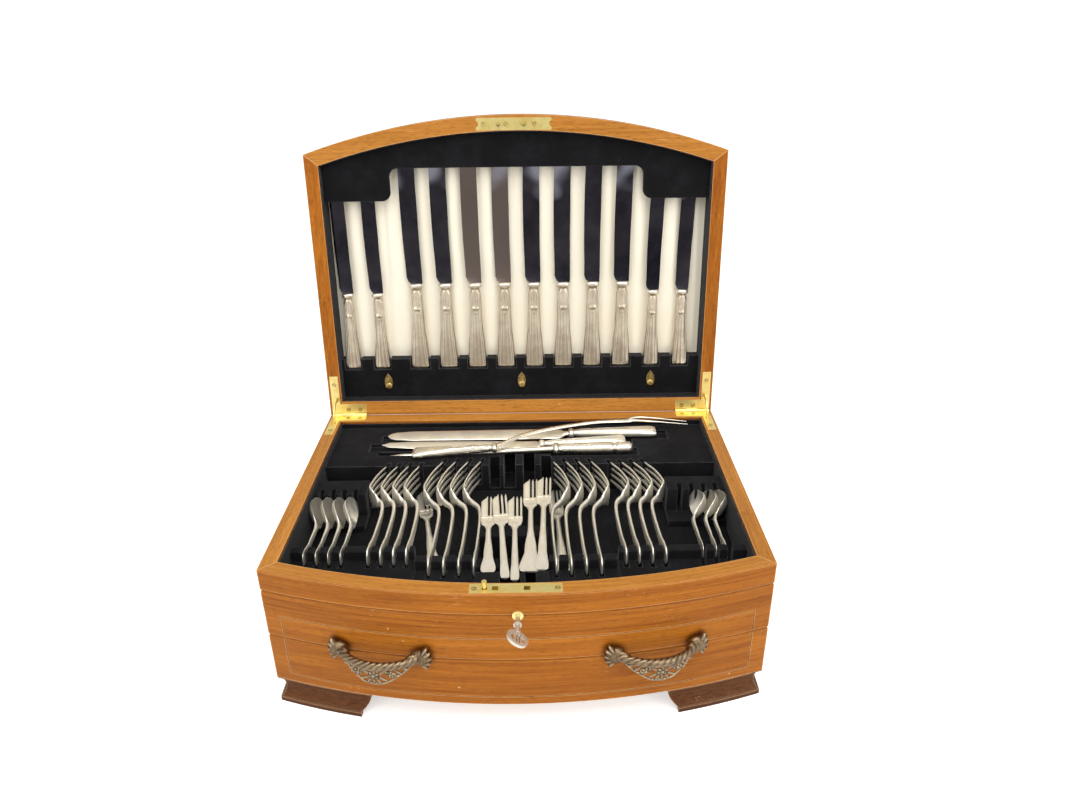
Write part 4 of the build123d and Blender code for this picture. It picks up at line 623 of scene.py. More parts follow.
for finish, names in finishes:
    for name in names:
        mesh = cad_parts[name].data
        mesh.materials.clear()
        mesh.materials.append(finish)

# %% [markdown]
# ## Velvet-covered racks
# Cloth glued over a block always rounds its edges. The racks' own shapes are kept and their edges rounded with a
# bevel, so that the rubbed-edge shader has something to catch.


# %% Rounded copies of the racks
def velvet_copy(node_name, body, width):
    """A rack's own shape with rounded edges, covered in velvet and standing for it."""
    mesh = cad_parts[node_name].data.copy()
    bm = bmesh.new()
    bm.from_mesh(mesh)
    bmesh.ops.remove_doubles(bm, verts=bm.verts, dist=2e-6)
    bmesh.ops.dissolve_limit(bm, angle_limit=math.radians(1.5), verts=bm.verts, edges=bm.edges)
    bm.to_mesh(mesh)
    bm.free()
    piece = finish_piece(node_name + "_velvet", mesh, body, velvet, [node_name])
    soft = piece.modifiers.new("round", "BEVEL")
    soft.width, soft.segments, soft.limit_method = width * MM, 2, "ANGLE"
    soft.angle_limit = math.radians(25)
    soft.harden_normals = True


for node_name, body, width in (
    ("rear_shelf", "case", 0.8), ("spoon_racks", "case", 0.9), ("front_racks", "case", 1.2),
    ("pastry_rack", "case", 1.2), ("knife_bar", "lid", 1.0), ("bridge_board", "lid", 0.9),
):
    velvet_copy(node_name, body, width)

# %% [markdown]
# ## Satin behind the knives
# The lid is lined with satin, drawn up into soft upright folds. It is one grid of points over the lid's inside,
# whose height comes from a few rounded ridges that wander a little as they climb.

# %% The satin sheet
lid_hollow, satin_board, satin_gap = 27.0, 3.0, 0.1  # depth of the hollow, its board, and cloth over board
satin_z = lid_base + lid_hollow - satin_board
wall_pad, ease = 1.0, 0.3
satin_half = half_width - wall_side - wall_pad - ease
bar_end_u, band_depth, handles_end_u = 63.0, 12.0, 150.0  # from the hinge; the bridge's band; from the hinge
random.seed(11)
folds = []
x = -satin_half + 8
while x < satin_half:
    folds.append((x, random.uniform(5.0, 10.0), random.uniform(0.8, 2.3), random.uniform(0, 50)))
    x += random.uniform(13.0, 26.0)


def fold_height(x, u):
    """How far the satin stands off its board at x and distance u from the hinge."""
    lift = 0.0
    for centre, wide, tall, phase in folds:
        wander = 3.0 * noise.noise(Vector((phase, u * 0.012, 0)))
        lift = max(lift, tall * math.exp(-(((x - centre - wander) / wide) ** 2)))
    edge = min(1.0, (satin_half - abs(x)) / 6)
    past_handles = min(1.0, max(0.0, (u - handles_end_u) / 20.0))
    front_u = back_y - bow_y(x, wall_front + wall_pad)
    past_bar, before_band = (u - bar_end_u) / 8.0, (front_u - band_depth - u) / 8.0
    pressed = min(1.0, max(0.0, past_bar), max(0.0, before_band))  # flat under bar and band
    return lift * edge * (1.0 + 0.5 * past_handles) * pressed


# %% The sheet as one grid
columns, rows = 220, 60
sheet = Shape()
low_u = wall_back + wall_pad + ease
for j in range(rows + 1):
    for i in range(columns + 1):
        x = -satin_half + 2 * satin_half * i / columns
        high_u = back_y - bow_y(x, wall_front + wall_pad) - ease
        u = low_u + (high_u - low_u) * j / rows
        sheet.points.append(Vector((x, back_y - u, satin_z - satin_gap - fold_height(x, u))))
for j in range(rows):
    for i in range(columns):
        a = j * (columns + 1) + i
        sheet.faces.append((a, a + 1, a + columns + 2, a + columns + 1))
satin_piece = make_piece("satin_folds", sheet.moved(open_lid), "lid", satin, ["satin_lining"], sharp=80)

# %% [markdown]
# ## Knives in the lid
# Twelve knives stand in the notched bar: eight table knives and, outside them, four dessert knives. A handle is
# lofted through flattened oval rings: broad and fluted at its end, waisted, crossed by a small band, then a neck
# and a flanged bolster. The blade is a long plate that swells a little and turns over in a round point.

# %% Sizes of the lid knives: x, then butt, bolster and tip from the hinge
table_knives = [(first_knife_x + knife_pitch * i, 50.0, 146.5, 286.0) for i in range(8)]
dessert_knives = [(x, 50.0, 136.5, 258.0) for x in (-187.0, -154.5, 146.5, 178.5)]
knife_z = rim_z + 17.0
dessert_scale, handle_girth, blade_seat = 0.86, 1.10, 0.5


# %% A fluted handle
def knife_handle(shape, place, long, scale, girth=1.0):
    """A fluted handle lofted from its butt to its bolster; place carries (across, along, up) to where it lies."""
    wide = ((0, 8.6), (0.02, 9.8), (0.05, 10.0), (0.25, 8.4), (0.5, 6.7), (0.7, 6.1), (0.885, 5.6), (0.905, 4.5),
            (0.925, 4.2), (0.94, 4.5), (0.955, 6.6), (0.985, 6.9), (1.0, 5.4))
    thick = ((0, 2.6), (0.03, 3.9), (0.3, 4.4), (0.9, 3.9), (0.93, 3.4), (0.955, 4.8), (0.985, 4.9), (1.0, 3.0))
    rings, n = [], 72
    for i in range(111):
        t = i / 110
        w, h = ramp(t, *wide) * scale * girth, ramp(t, *thick) * (0.5 + scale / 2)
        cut = ramp(t, (0.03, 0.0), (0.07, 1.0), (0.84, 1.0), (0.89, 0.0))
        inner = ramp(t, (0.05, 1.0), (0.62, 0.9), (0.66, 0.0), (0.76, 0.0), (0.79, 0.8), (0.86, 0.6), (0.89, 0.0))
        ring = []
        for k in range(n):
            angle = 2 * math.pi * k / n
            c, s = math.cos(angle), math.sin(angle)
            share = math.copysign(abs(c) ** 0.8, c)
            px, pz = share * w, math.copysign(abs(s) ** 0.8, s) * h
            lines = cut * math.exp(-(((abs(share) - 0.80) / 0.055) ** 2))
            lines += cut * math.exp(-(((abs(share) - 0.60) / 0.05) ** 2))
            lines += 0.6 * inner * math.exp(-(((abs(share) - 0.26) / 0.05) ** 2))
            boss = math.exp(-((share / 0.42) ** 2) - ((t - 0.71) / 0.022) ** 2)
            boss += 0.7 * math.exp(-(((abs(share) - 0.45) / 0.2) ** 2) - ((t - 0.71) / 0.012) ** 2)
            boss += 0.6 * math.exp(-((share / 0.2) ** 2) - ((t - 0.66) / 0.012) ** 2)
            lift = 0.75 * boss - 0.48 * lines if abs(s) > 0.2 else 0.0
            ring.append(place @ Vector((px, t * long, pz + math.copysign(lift, s))))
        rings.append(ring)
    shape.loft(rings)


# %% A blade
def knife_blade(shape, x, bolster, tip, scale):
    """A blade with a rounded heel at its left, a fine edge and a back."""
    long, rings = tip - bolster, []
    for i in range(61):
        t = i / 60
        sway = -2.4 * scale * math.sin(math.pi * t * 0.86) * t + 5.5 * max(0.0, (x + 60) / 240) * t
        left = scale * ramp(
            t, (0, 4.6), (0.02, 7.8), (0.05, 9.4), (0.35, 10.2), (0.9, 9.8), (0.965, 7.0), (0.99, 3.2), (1.0, 0.4)
        )
        right = scale * ramp(t, (0, 7.3), (0.3, 7.0), (0.6, 7.6), (0.88, 7.4), (0.95, 5.8), (0.985, 3.0), (1.0, 0.4))
        y, mid = back_y - bolster - t * long, x + sway
        back, keen = 0.75 * (1 - 0.35 * t), 0.16
        rings.append([
            (mid + right, y, knife_z + back * 0.8), (mid + right * 0.4, y, knife_z + back),
            (mid - left * 0.5, y, knife_z + back * 0.7), (mid - left, y, knife_z + keen),
            (mid - left, y, knife_z - keen), (mid - left * 0.5, y, knife_z - back * 0.7),
            (mid + right * 0.4, y, knife_z - back), (mid + right, y, knife_z - back * 0.8),
        ])
    shape.loft(rings)


# %% Twelve knives in the bar
handles, blades = Shape(), Shape()
for knives, scale in ((table_knives, 1.0), (dessert_knives, dessert_scale)):
    for x, end, bolster, tip in knives:
        hung = Matrix.Translation((x, back_y - end, knife_z)) @ Matrix.Diagonal((1, -1, 1, 1))
        knife_handle(handles, hung, bolster - end, scale, handle_girth)
        knife_blade(blades, x, bolster - blade_seat, tip, scale)
make_piece("lid_knife_handles", handles.moved(open_lid), "lid", dull_silver, ["knife_handles"], sharp=50)
make_piece("lid_knife_blades", blades.moved(open_lid), "lid", blade_steel, ["knife_blades"])

# %% [markdown]
# ## Forks and spoons on edge
# These stand on their sides in slots, so what shows is each piece's curve from tip to handle. Every piece follows
# a smooth line in plan; its width runs upright and its thickness runs sideways from that line.

# %% Places of the standing cutlery (x, distance from the tray's back wall)
fork_groups = {  # tip, bend, neck and end of the first, the step to the next, and the tines' length
    "left": ((-136.8, 85.9), (-146.4, 125.1), (-132.8, 144.2), (-131.8, 231.5), 11.3, 42.0),
    "left_table": ((-79.4, 77.8), (-92.9, 126.9), (-77.2, 152.6), (-76.9, 247.5), 13.0, 48.0),
    "right_table": ((33.9, 80.7), (47.6, 126.2), (32.2, 155.6), (33.2, 248.5), 13.0, 48.0),
    "right": ((92.8, 83.5), (106.6, 122.5), (93.4, 146.4), (94.6, 234.0), 11.6, 42.0),
}
spoon_groups = {  # tip, bowl, neck and end of the first, the step to the next, and how many
    "left": ((-191.9, 135.6), (-193.5, 155.0), (-188.9, 175.2), (-187.8, 231.0), 10.8, 4),
    "right": ((167.3, 132.0), (172.5, 151.0), (163.6, 171.5), (162.6, 227.5), 11.6, 3),
}
on_edge_z = rim_z - 19.0


def plan_frames(points, dx, steps=14):
    """Points, lengths run and sideways directions along a smooth line in plan."""
    line = smooth_path([(x + dx, inner_back_y - d, 0) for x, d in points], steps)
    run, frames = 0.0, []
    for i, p in enumerate(line):
        ahead, behind = line[min(i + 1, len(line) - 1)], line[max(i - 1, 0)]
        along = (ahead - behind).normalized()
        if i:
            run += (p - line[i - 1]).length
        frames.append((run, p, Vector((-along.y, along.x, 0))))
    return frames


def standing_ring(point, side, low, high, thick, dish, z0, n=14, lean=0.0):
    """A flattened ring: from low to high across its width, bowed sideways by dish, leaning by a share."""
    ring = []
    mid, half = (low + high) / 2, (high - low) / 2
    for k in range(n):
        c, s = oval(k, n, 0.7)
        across = mid + half * c
        bow = dish(across) + lean * across
        ring.append(point + side * (thick / 2 * s + bow) + Vector((0, 0, z0 + across)))
    return ring


# %% Standing forks
def standing_fork(shape, data, index):
    """A four-tined fork on edge, tips to the back."""
    tip, bend, neck, end, pitch, tine_length = data
    lean = 1.0 if bend[0] < tip[0] else -1.0
    drift, fall = bend[0] - tip[0], bend[1] - tip[1]
    shoulder = (tip[0] + drift * 0.60, tip[1] + fall * 0.40)
    cheek = (tip[0] + drift * 0.93, tip[1] + fall * 0.76)
    waist = ((bend[0] + neck[0]) / 2 - 0.2 * lean, (bend[1] + neck[1]) / 2)
    grip = (neck[0] + (end[0] - neck[0]) * 0.4 + 1.6 * lean, neck[1] + (end[1] - neck[1]) * 0.35)
    frames = plan_frames((tip, shoulder, cheek, (bend[0], bend[1] + 1.5), waist, neck, grip, end), index * pitch)
    total = frames[-1][0]
    root = tine_length + 1.0
    neck_run = root + 19.0
    dish = lambda across, deep=1.3: -lean * deep * (1 - min(1.0, (across / 12) ** 2))
    # tines, top to bottom
    for k in range(4):
        middle_z = (k - 1.5) * 6.75
        rings = []
        for run, p, side in frames:
            if run > root + 2:
                break
            half = ramp(run, (0, 0.5), (2.5, 1.15), (tine_length * 0.5, 1.6), (tine_length, 1.85))
            thick = ramp(run, (0, 0.8), (4, 1.5), (tine_length, 2.0))
            rings.append(standing_ring(p, side, middle_z - half, middle_z + half, thick, dish, on_edge_z, 10))
        shape.loft(rings)
    # head and handle
    rings = []
    for run, p, side in frames:
        if run < root - 4:
            continue
        half = ramp(
            run, (root - 4, 12.0), (root + 2, 11.4), (root + 8, 8.2), (neck_run - 4, 3.7), (neck_run + 6, 2.9),
            (total - 34, 5.2), (total - 8, 9.3), (total - 2.5, 9.6), (total - 0.6, 7.4), (total, 4.5),
        )
        thick = ramp(run, (root, 1.9), (neck_run, 3.4), (total - 30, 2.5), (total - 3, 2.4), (total, 1.4))
        depth = ramp(run, (root, 1.3), (neck_run - 8, 0.2))
        bowed = lambda a, d=depth, h=half: dish(a * 12 / max(h, 1), d)
        rings.append(standing_ring(p, side, -half, half, thick, bowed, on_edge_z, 20))
    shape.loft(rings)


for names, piece_name, cad_name in (
    (("left_table", "right_table"), "table_fork_set", "table_forks"),
    (("left", "right"), "dessert_fork_set", "dessert_forks"),
):
    forks = Shape()
    for group in names:
        for index in range(4):
            standing_fork(forks, fork_groups[group], index)
    make_piece(piece_name, forks, "case", soft_silver, [cad_name], sharp=60)


# %% Standing teaspoons
def standing_spoon(shape, data, index):
    """A teaspoon on edge: an egg-shaped bowl pressed sideways, then its handle."""
    tip, bowl, neck, end, pitch = data[:5]
    lean = 1.0 if tip[0] < 0 else -1.0
    grip = ((neck[0] + end[0]) / 2, (neck[1] + end[1]) / 2)
    frames = plan_frames((tip, bowl, neck, grip, end), index * pitch)
    total = frames[-1][0]
    bowl_length = 41.0
    rings = []
    for run, p, side in frames:
        half = ramp(
            run, (0, 1.2), (1.2, 4.6), (4, 8.2), (10, 11.6), (17, 12.9), (25, 12.0), (33, 8.6), (bowl_length, 3.4),
            (bowl_length + 6, 2.3), (total - 26, 3.4), (total - 6, 7.0), (total - 1.5, 6.4), (total, 3.2),
        )
        depth = ramp(run, (0, 0.0), (6, 2.6), (18, 5.6), (30, 3.6), (bowl_length, 0.0)) if run < bowl_length else 0.0
        thick = ramp(
            run, (0, 0.8), (8, 1.1), (bowl_length - 6, 1.3), (bowl_length, 2.6), (total - 20, 1.9), (total, 1.2)
        )
        dish = lambda a, d=depth, h=half: -d * lean * (1 - min(1.0, (a / h) ** 2)) ** 0.8
        tilt = -lean * ramp(run, (0, 0.30), (bowl_length, 0.26), (bowl_length + 30, 0.0))
        rings.append(standing_ring(p, side, -half, half, thick, dish, on_edge_z, 28, tilt))
    shape.loft(rings)


# %% Seven teaspoons, none past the lining
spoons = Shape()
inside_lining = half_width - wall_side - 1.3  # the velvet's face, with a little room
for data in spoon_groups.values():
    for index in range(data[5]):
        spoon, first = Shape(), len(spoons.points)
        standing_spoon(spoon, data, index)
        past = max(0.0, max(p[0] for p in spoon.points) - inside_lining)
        spoons.points += [Vector((p[0] - past, p[1], p[2])) for p in spoon.points]
        spoons.faces += [tuple(first + k for k in face) for face in spoon.faces]
make_piece("teaspoon_set", spoons, "case", soft_silver, ["teaspoons"], sharp=60)

# %% [markdown]
# ## Pastry forks
# Seven small forks lie face up in the middle. Each has one broad cutting tine and two slim ones, a shallow bowl
# with a ledge, and a handle that spreads towards its end. They share one maker, fed with each fork's tip and end.

# %% Pastry forks, face up
rack_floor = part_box("tray_lining")[0].z / MM + 1.0
pastry_forks = (  # tip and end (x, distance from the back wall), height, half width of the end
    ((-101.5, 88.5), (-76.5, 216), rack_floor + 1.3, 7.0),
    ((-29.9, 137), (-25.0, 255.0), rim_z - 14.4, 6.5),
    ((-19.6, 137.3), (-10.2, 266.0), rim_z - 12.0, 3.9),
    ((-4.5, 137.8), (-2.2, 266.0), rim_z - 14.4, 3.9),
    ((10.8, 106.3), (11.0, 254.5), rim_z - 14.4, 9.8),
    ((24.6, 106.0), (20.6, 255.5), rim_z - 12.0, 5.6),
    ((35.0, 88.5), (40.0, 224), rack_floor + 1.3, 7.0),
)


def lying_ring(place, s, low, high, top, bottom, crown, n=16):
    """A flat ring at length s, from low to high across, between two heights."""
    ring, mid, half = [], (low + high) / 2, (high - low) / 2
    for k in range(n):
        angle = 2 * math.pi * k / n
        c, v = math.cos(angle), math.sin(angle)
        across = mid + half * math.copysign(abs(c) ** 0.75, c)
        share = (across - mid) / half if half else 0
        z = (top + crown * (1 - share * share)) * max(v, 0) ** 0.6 if v >= 0 else bottom * abs(v) ** 0.6
        ring.append(place @ Vector((s, across, z)))
    return ring


def lying_fork(shape, tip, end, z, flare):
    """A pastry fork from its tips to its handle end."""
    start, finish = Vector((tip[0], inner_back_y - tip[1], z)), Vector((end[0], inner_back_y - end[1], z))
    along = (finish - start).normalized()
    across = Vector((-along.y, along.x, 0))
    length = (finish - start).length
    place = Matrix.Translation(start) @ Matrix(
        ((along.x, across.x, 0, 0), (along.y, across.y, 0, 0), (0, 0, 1, 0), (0, 0, 0, 1))
    )
    # u runs to the fork's own right as seen with its tips away: the broad tine is at the left
    tines = ((-7.2, -0.6, 9.0), (1.2, 3.3, 1.5), (5.0, 7.1, 1.5))
    for low, high, slant in tines:
        rings = []
        for i in range(15):
            s = 36.0 * (i / 14) ** 1.4
            if slant > 5:
                left, right = ramp(s, (0, high - 0.9), (slant, low)), high
            else:
                middle, long = (low + high) / 2, slant + 2
                left, right = ramp(s, (0, middle - 0.3), (long, low)), ramp(s, (0, middle + 0.3), (long, high))
            rings.append(lying_ring(place, s, left, right, 0.55, -0.9, 0.35, 12))
        shape.loft(rings)
    rings = []
    for i in range(90):
        s = 33.0 + (length - 33.0) * i / 89
        half = ramp(
            s, (33, 7.3), (40, 7.3), (46, 6.4), (50.5, 3.4), (55, 2.3), (length * 0.55, 2.5),
            (length * 0.8, 2.5 + (flare - 2.5) * 0.4), (length - 5, flare), (length - 1.5, flare * 0.92),
            (length, flare * 0.55),
        )
        top = ramp(
            s, (33, 0.4), (37, 0.5), (39, 1.3), (44, 1.5), (50, 1.5), (56, 1.8), (length - 20, 1.2), (length, 0.5)
        )
        crown = ramp(
            s, (33, -0.2), (42, -0.9), (50, 0.3), (60, 0.8), (length - 24, 0.6), (length - 8, -0.3), (length, -0.1)
        )
        rings.append(lying_ring(place, s, -half, half, top, -1.2, crown, 26))
    shape.loft(rings)


flat_forks = Shape()
for tip, end, z, flare in pastry_forks:
    lying_fork(flat_forks, tip, end, z, flare)
make_piece("pastry_fork_set", flat_forks, "case", soft_silver, ["pastry_forks"], sharp=60)

# %% [markdown]
# ## Carving set
# Four long pieces lie in the rear shelf. From the back they are the carving knife, the game knife and the
# sharpening steel, and the carving fork is laid over them, its shank crossing to the right.


# %% Lying knives, a steel and a fork
def lay(start, finish):
    """A matrix whose Y runs from start to finish (x, distance from the back wall, z), X across and Z up."""
    a, b = (Vector((p[0], inner_back_y - p[1], p[2])) for p in (start, finish))
    along = (b - a).normalized()
    across = along.cross(Vector((0, 0, 1))).normalized()
    upward = across.cross(along)
    turned = Matrix((
        (across.x, along.x, upward.x, 0), (across.y, along.y, upward.y, 0), (across.z, along.z, upward.z, 0),
        (0, 0, 0, 1),
    ))
    return Matrix.Translation(a) @ turned, (b - a).length


def lying_rod(shape, start, finish, stations, n=20, power=1.0, tilt=0.0):
    """A rod of changing oval section: stations are (share of length, half width, half height)."""
    place, long = lay(start, finish)
    place = place @ Matrix.Rotation(math.radians(tilt), 4, "Y")
    rings = []
    for i in range(61):
        t = i / 60
        w = ramp(t, *((s[0], s[1]) for s in stations))
        h = ramp(t, *((s[0], s[2]) for s in stations))
        ovals = [oval(k, n, power) for k in range(n)]
        rings.append([place @ Vector((w * c, t * long, h * s)) for c, s in ovals])
    shape.loft(rings)


def set_handle(shape, bolster, butt, scale):
    """A handle like the lid knives', laid from its butt to its bolster."""
    place, long = lay(butt, bolster)
    knife_handle(shape, place, long, scale)


# %% Carving knife
BLADE_TILT = -5.0  # degrees: the blades lie nearly flat, turned a little to the front
carvers, game, steel, fork_set = Shape(), Shape(), Shape(), Shape()
set_handle(carvers, (52, 26, 139.9), (147, 24, 139.9), 0.86)
lying_rod(carvers, (54, 26, 139.4), (46, 26, 139.4), ((0, 5.4, 3.4), (0.3, 3.2, 2.4), (1, 4.8, 1.8)))
lying_rod(
    carvers, (47, 26, 139.1), (-144, 27, 139.1),
    ((0, 4.6, 1.1), (0.025, 9.0, 0.9), (0.3, 9.5, 0.85), (0.85, 9.0, 0.75), (0.95, 7.4, 0.6), (0.985, 4.8, 0.5),
     (1, 1.2, 0.3)),
    16, 0.7, BLADE_TILT,
)
make_piece("carving_knife_laid", carvers, "case", soft_silver, ["carving_knife"], sharp=50)

# %% Game knife
set_handle(game, (20, 48, 138.4), (112, 40.5, 138.4), 0.80)
lying_rod(
    game, (21, 48, 137.8), (-148, 44, 137.6),
    ((0, 4.6, 1.6), (0.03, 6.6, 0.9), (0.4, 7.0, 0.85), (0.8, 6.6, 0.7), (0.95, 4.6, 0.5), (1, 0.7, 0.3)),
    16, 0.7, BLADE_TILT,
)
make_piece("game_knife_laid", game, "case", soft_silver, ["game_knife"], sharp=50)

# %% Sharpening steel
lying_rod(steel, (36, 60.5, 139.7), (-142, 60.5, 132.2), ((0, 2.9, 2.9), (0.9, 2.7, 2.7), (1, 1.2, 1.2)))
lying_rod(
    steel, (34, 60.5, 139.8), (118, 60, 140.2),
    ((0, 4.0, 3.6), (0.03, 7.0, 6.2), (0.06, 7.0, 6.2), (0.08, 4.4, 4.2), (0.12, 5.2, 4.8), (0.5, 6.4, 5.4),
     (0.74, 6.6, 5.8), (0.76, 5.2, 4.8), (0.79, 5.2, 4.8), (0.81, 7.0, 6.0), (0.97, 6.2, 5.6), (1, 3.0, 2.8)),
    32, 0.9,
)
make_piece("sharpening_steel_laid", steel, "case", silver, ["sharpening_steel"], sharp=50)

# %% Carving fork: short rods along its shank and tines, each reaching a little into the next
set_handle(fork_set, (-24, 66, 145.2), (-112, 68, 140.8), 0.86)
shank = smooth_path([(-26, 66, 146.4), (12, 40, 148.2), (70, 22, 149.4), (120, 15, 149.6)], 14)
for i in range(len(shank) - 1):
    a, b = shank[i], shank[i + 1]
    half = ramp(i / len(shank), (0, 4.6), (0.12, 3.0), (0.3, 3.6), (0.7, 2.6), (1, 5.2))
    reach = (b - a) * 0.06
    lying_rod(fork_set, a - reach, b + reach, ((0, half, 1.4), (1, half, 1.4)), 14)
for side in (-1, 1):
    tine = smooth_path(
        [(117, 15.3 + side * 1.4, 149.6), (134, 14 + side * 4.2, 149.8), (182, 17 + side * 3.4, 146.0)], 12
    )
    for i in range(len(tine) - 1):
        a, b = tine[i], tine[i + 1]
        half = ramp(i / len(tine), (0, 2.0), (0.3, 1.5), (1, 0.5))
        reach = (b - a) * 0.05
        lying_rod(fork_set, a - reach, b + reach, ((0, half, half * 0.8), (1, half, half * 0.8)), 10)
make_piece("carving_fork_laid", fork_set, "case", silver, ["carving_fork"], sharp=60)

# %% [markdown]
# ## Cast pulls
# Each pull is one casting: a leafy paw at each end, a rope-twisted grip arched between them, and a pierced
# apron of flowers and leaves under it, edged by two thin straps. The parts overlap and are melted into one skin,
# which rounds every meeting the way casting does.

# %% Places on the bowed front
pull_x, pull_z, grip_stand, grip_radius = 114.0, 81.5, 20.0, 44.53


def on_bow(x, z):
    """A matrix whose X runs along the bowed front, Y up and Z outward."""
    lean = math.asin(x / bow_radius)
    return Matrix((
        (math.cos(lean), 0, math.sin(lean), x),
        (math.sin(lean), 0, -math.cos(lean), bow_y(x)),
        (0, 1, 0, z),
        (0, 0, 0, 1),
    ))


def stand_of(p):
    """How far the grip stands out at p from the pull's middle."""
    return grip_stand - (grip_radius - math.sqrt(max(0.0, grip_radius**2 - p * p)))


# %% Pebbles and round bars
def blob(shape, place, centre, along, across, outward, n=14):
    """A pebble with three half lengths given as vectors."""
    rings = []
    for i in range(1, 10):
        t = math.pi * i / 10
        ovals = [oval(k, n) for k in range(n)]
        rings.append([
            place @ (centre - along * math.cos(t) + (across * c + outward * s) * math.sin(t)) for c, s in ovals
        ])
    shape.loft(rings)


def tube(shape, place, line, radii, n=12, lobes=0, twist=0.0):
    """A round bar along a line; lobes and twist (turns per millimetre) make it a rope."""
    rings, run = [], 0.0
    for i, p in enumerate(line):
        along = (line[min(i + 1, len(line) - 1)] - line[max(i - 1, 0)]).normalized()
        side = along.cross(Vector((0, 1, 0))).normalized()
        upward = side.cross(along)
        if i:
            run += (p - line[i - 1]).length
        radius, ring = ramp(i / (len(line) - 1), *radii), []
        for k in range(n):
            angle = 2 * math.pi * k / n
            r = radius * (1 + (0.17 * abs(math.cos(lobes * (angle / 2 - math.pi * twist * run))) - 0.1 if lobes else 0))
            ring.append(place @ (p + side * (r * math.cos(angle)) + upward * (r * math.sin(angle))))
        rings.append(ring)
    shape.loft(rings)


# %% One casting
def casting(shape, side):
    """One pull in its place on the drawer front."""
    place, v = on_bow(side * pull_x, pull_z), Vector
    grip = [v((p, 0, stand_of(p))) for p in (-32 + 64 * i / 96 for i in range(97))]
    tube(shape, place, grip, ((0, 4.0), (0.12, 3.3), (0.5, 3.6), (0.88, 3.3), (1, 4.0)), 48, 4, 1 / 21)
    for end in (-1, 1):
        blob(shape, place, v((end * 35, -0.5, 3.6)), v((8.6, 0, 0)), v((0, 7.4, 0)), v((0, 0, 5.2)), 24)
        wrist, reach = v((end * 30, -0.8, 6.6)), v((7.0, 0, -end * 4.6))
        blob(shape, place, wrist, reach, v((0, 5.6, 0)), v((1.5 * end, 0, 4.0)), 24)
        for k in range(5):
            fan = math.radians((k - 2) * 27)
            out = v((end * math.cos(fan), math.sin(fan), 0))
            root = v((end * 36.0, -0.5 + (k - 2) * 1.7, 3.6))
            blob(shape, place, root + out * 4.0, out * 5.0, v((-out.y, out.x, 0)) * 2.05, v((0, 0, 3.9)))
            blob(shape, place, v((end * 31.0, (k - 2) * 2.0 - 0.5, 9.2 - abs(k - 2) * 1.0)),
                 v((end * 6.2, (k - 2) * 0.7, -2.8)), v((0, 0.95, 0)), v((0, 0, 1.5)))
        strap = smooth_path([
            (end * 30, -4.5, 5.5), (end * 22, -10.5, stand_of(22) - 1.2), (end * 10, -17.2, stand_of(10) - 0.6),
            (0, -18.0, grip_stand),
        ], 12)
        tube(shape, place, strap, ((0, 1.5), (0.5, 0.9), (1, 1.1)), 12)
    # the apron: three flowers, leaves between them, and stems up to the grip
    for p, q, size in ((0, -9.2, 4.3), (-13.5, -8.4, 3.5), (13.5, -8.4, 3.5)):
        here = v((p, q, stand_of(p)))
        blob(shape, place, here - v((0, 0.5, 0.5)), v((size * 1.35, 0, 0)), v((0, size, 0)), v((0, 0, 0.7)), 20)
        blob(shape, place, here + v((0, 0, 0.9)), v((size * 0.34, 0, 0)), v((0, size * 0.34, 0)), v((0, 0, 1.3)))
        for k in range(6):
            turn = 2 * math.pi * k / 6 + 0.3
            out = v((math.cos(turn), math.sin(turn), 0))
            wide = v((-out.y, out.x, 0)) * size * 0.27
            blob(shape, place, here + out * size * 0.62, out * size * 0.46, wide, v((0, 0, 1.15)))
    for p, q, angle, long in (
        (-7, -12.6, 25, 4.4), (7, -12.6, 155, 4.4), (-6.8, -6.2, -40, 4.0), (6.8, -6.2, 220, 4.0),
        (-19, -7.0, 30, 4.2), (19, -7.0, 150, 4.2), (-4, -15.0, 60, 3.4), (4, -15.0, 120, 3.4),
        (-17.5, -11.2, -20, 3.6), (17.5, -11.2, 200, 3.6), (0, -14.6, 90, 3.4), (-23.5, -5.0, 15, 4.0),
        (23.5, -5.0, 165, 4.0), (-10, -4.2, 80, 3.2), (10, -4.2, 100, 3.2), (0, -4.6, 90, 2.8),
    ):
        turn = math.radians(angle)
        out = v((math.cos(turn), math.sin(turn), 0))
        blob(shape, place, v((p, q, stand_of(p))), out * long, v((-out.y, out.x, 0)) * 1.25, v((0, 0, 1.1)))


# %% Melted into one skin
def melted(name, shape, voxel):
    """The overlapping parts of a shape as one skin."""
    mesh = bpy.data.meshes.new(name)
    mesh.from_pydata([p * MM for p in shape.points], [], shape.faces)
    rough = bpy.data.objects.new(name + "_parts", mesh)
    scene.collection.objects.link(rough)
    skin = rough.modifiers.new("melt", "REMESH")
    skin.mode, skin.voxel_size = "VOXEL", voxel * MM
    easy = rough.modifiers.new("ease", "SMOOTH")
    easy.factor, easy.iterations = 0.4, 2
    bpy.context.view_layer.update()
    done = bpy.data.meshes.new_from_object(rough.evaluated_get(bpy.context.evaluated_depsgraph_get()))
    bpy.data.objects.remove(rough)
    return done


pulls = Shape()
for side in (-1, 1):
    casting(pulls, side)
skin = melted("pull_castings", pulls, 0.42)
finish_piece("pull_castings", skin, "drawer", bronze, ["cast_pulls"], sharp=180)

# %% [markdown]
# ## Turn clips
# Three small leaf-shaped clips swing over the bar. Each is a leaf with an incised vein line inside its edge and
# a round rivet at its foot, built in the lid's shut place and swung open with it.


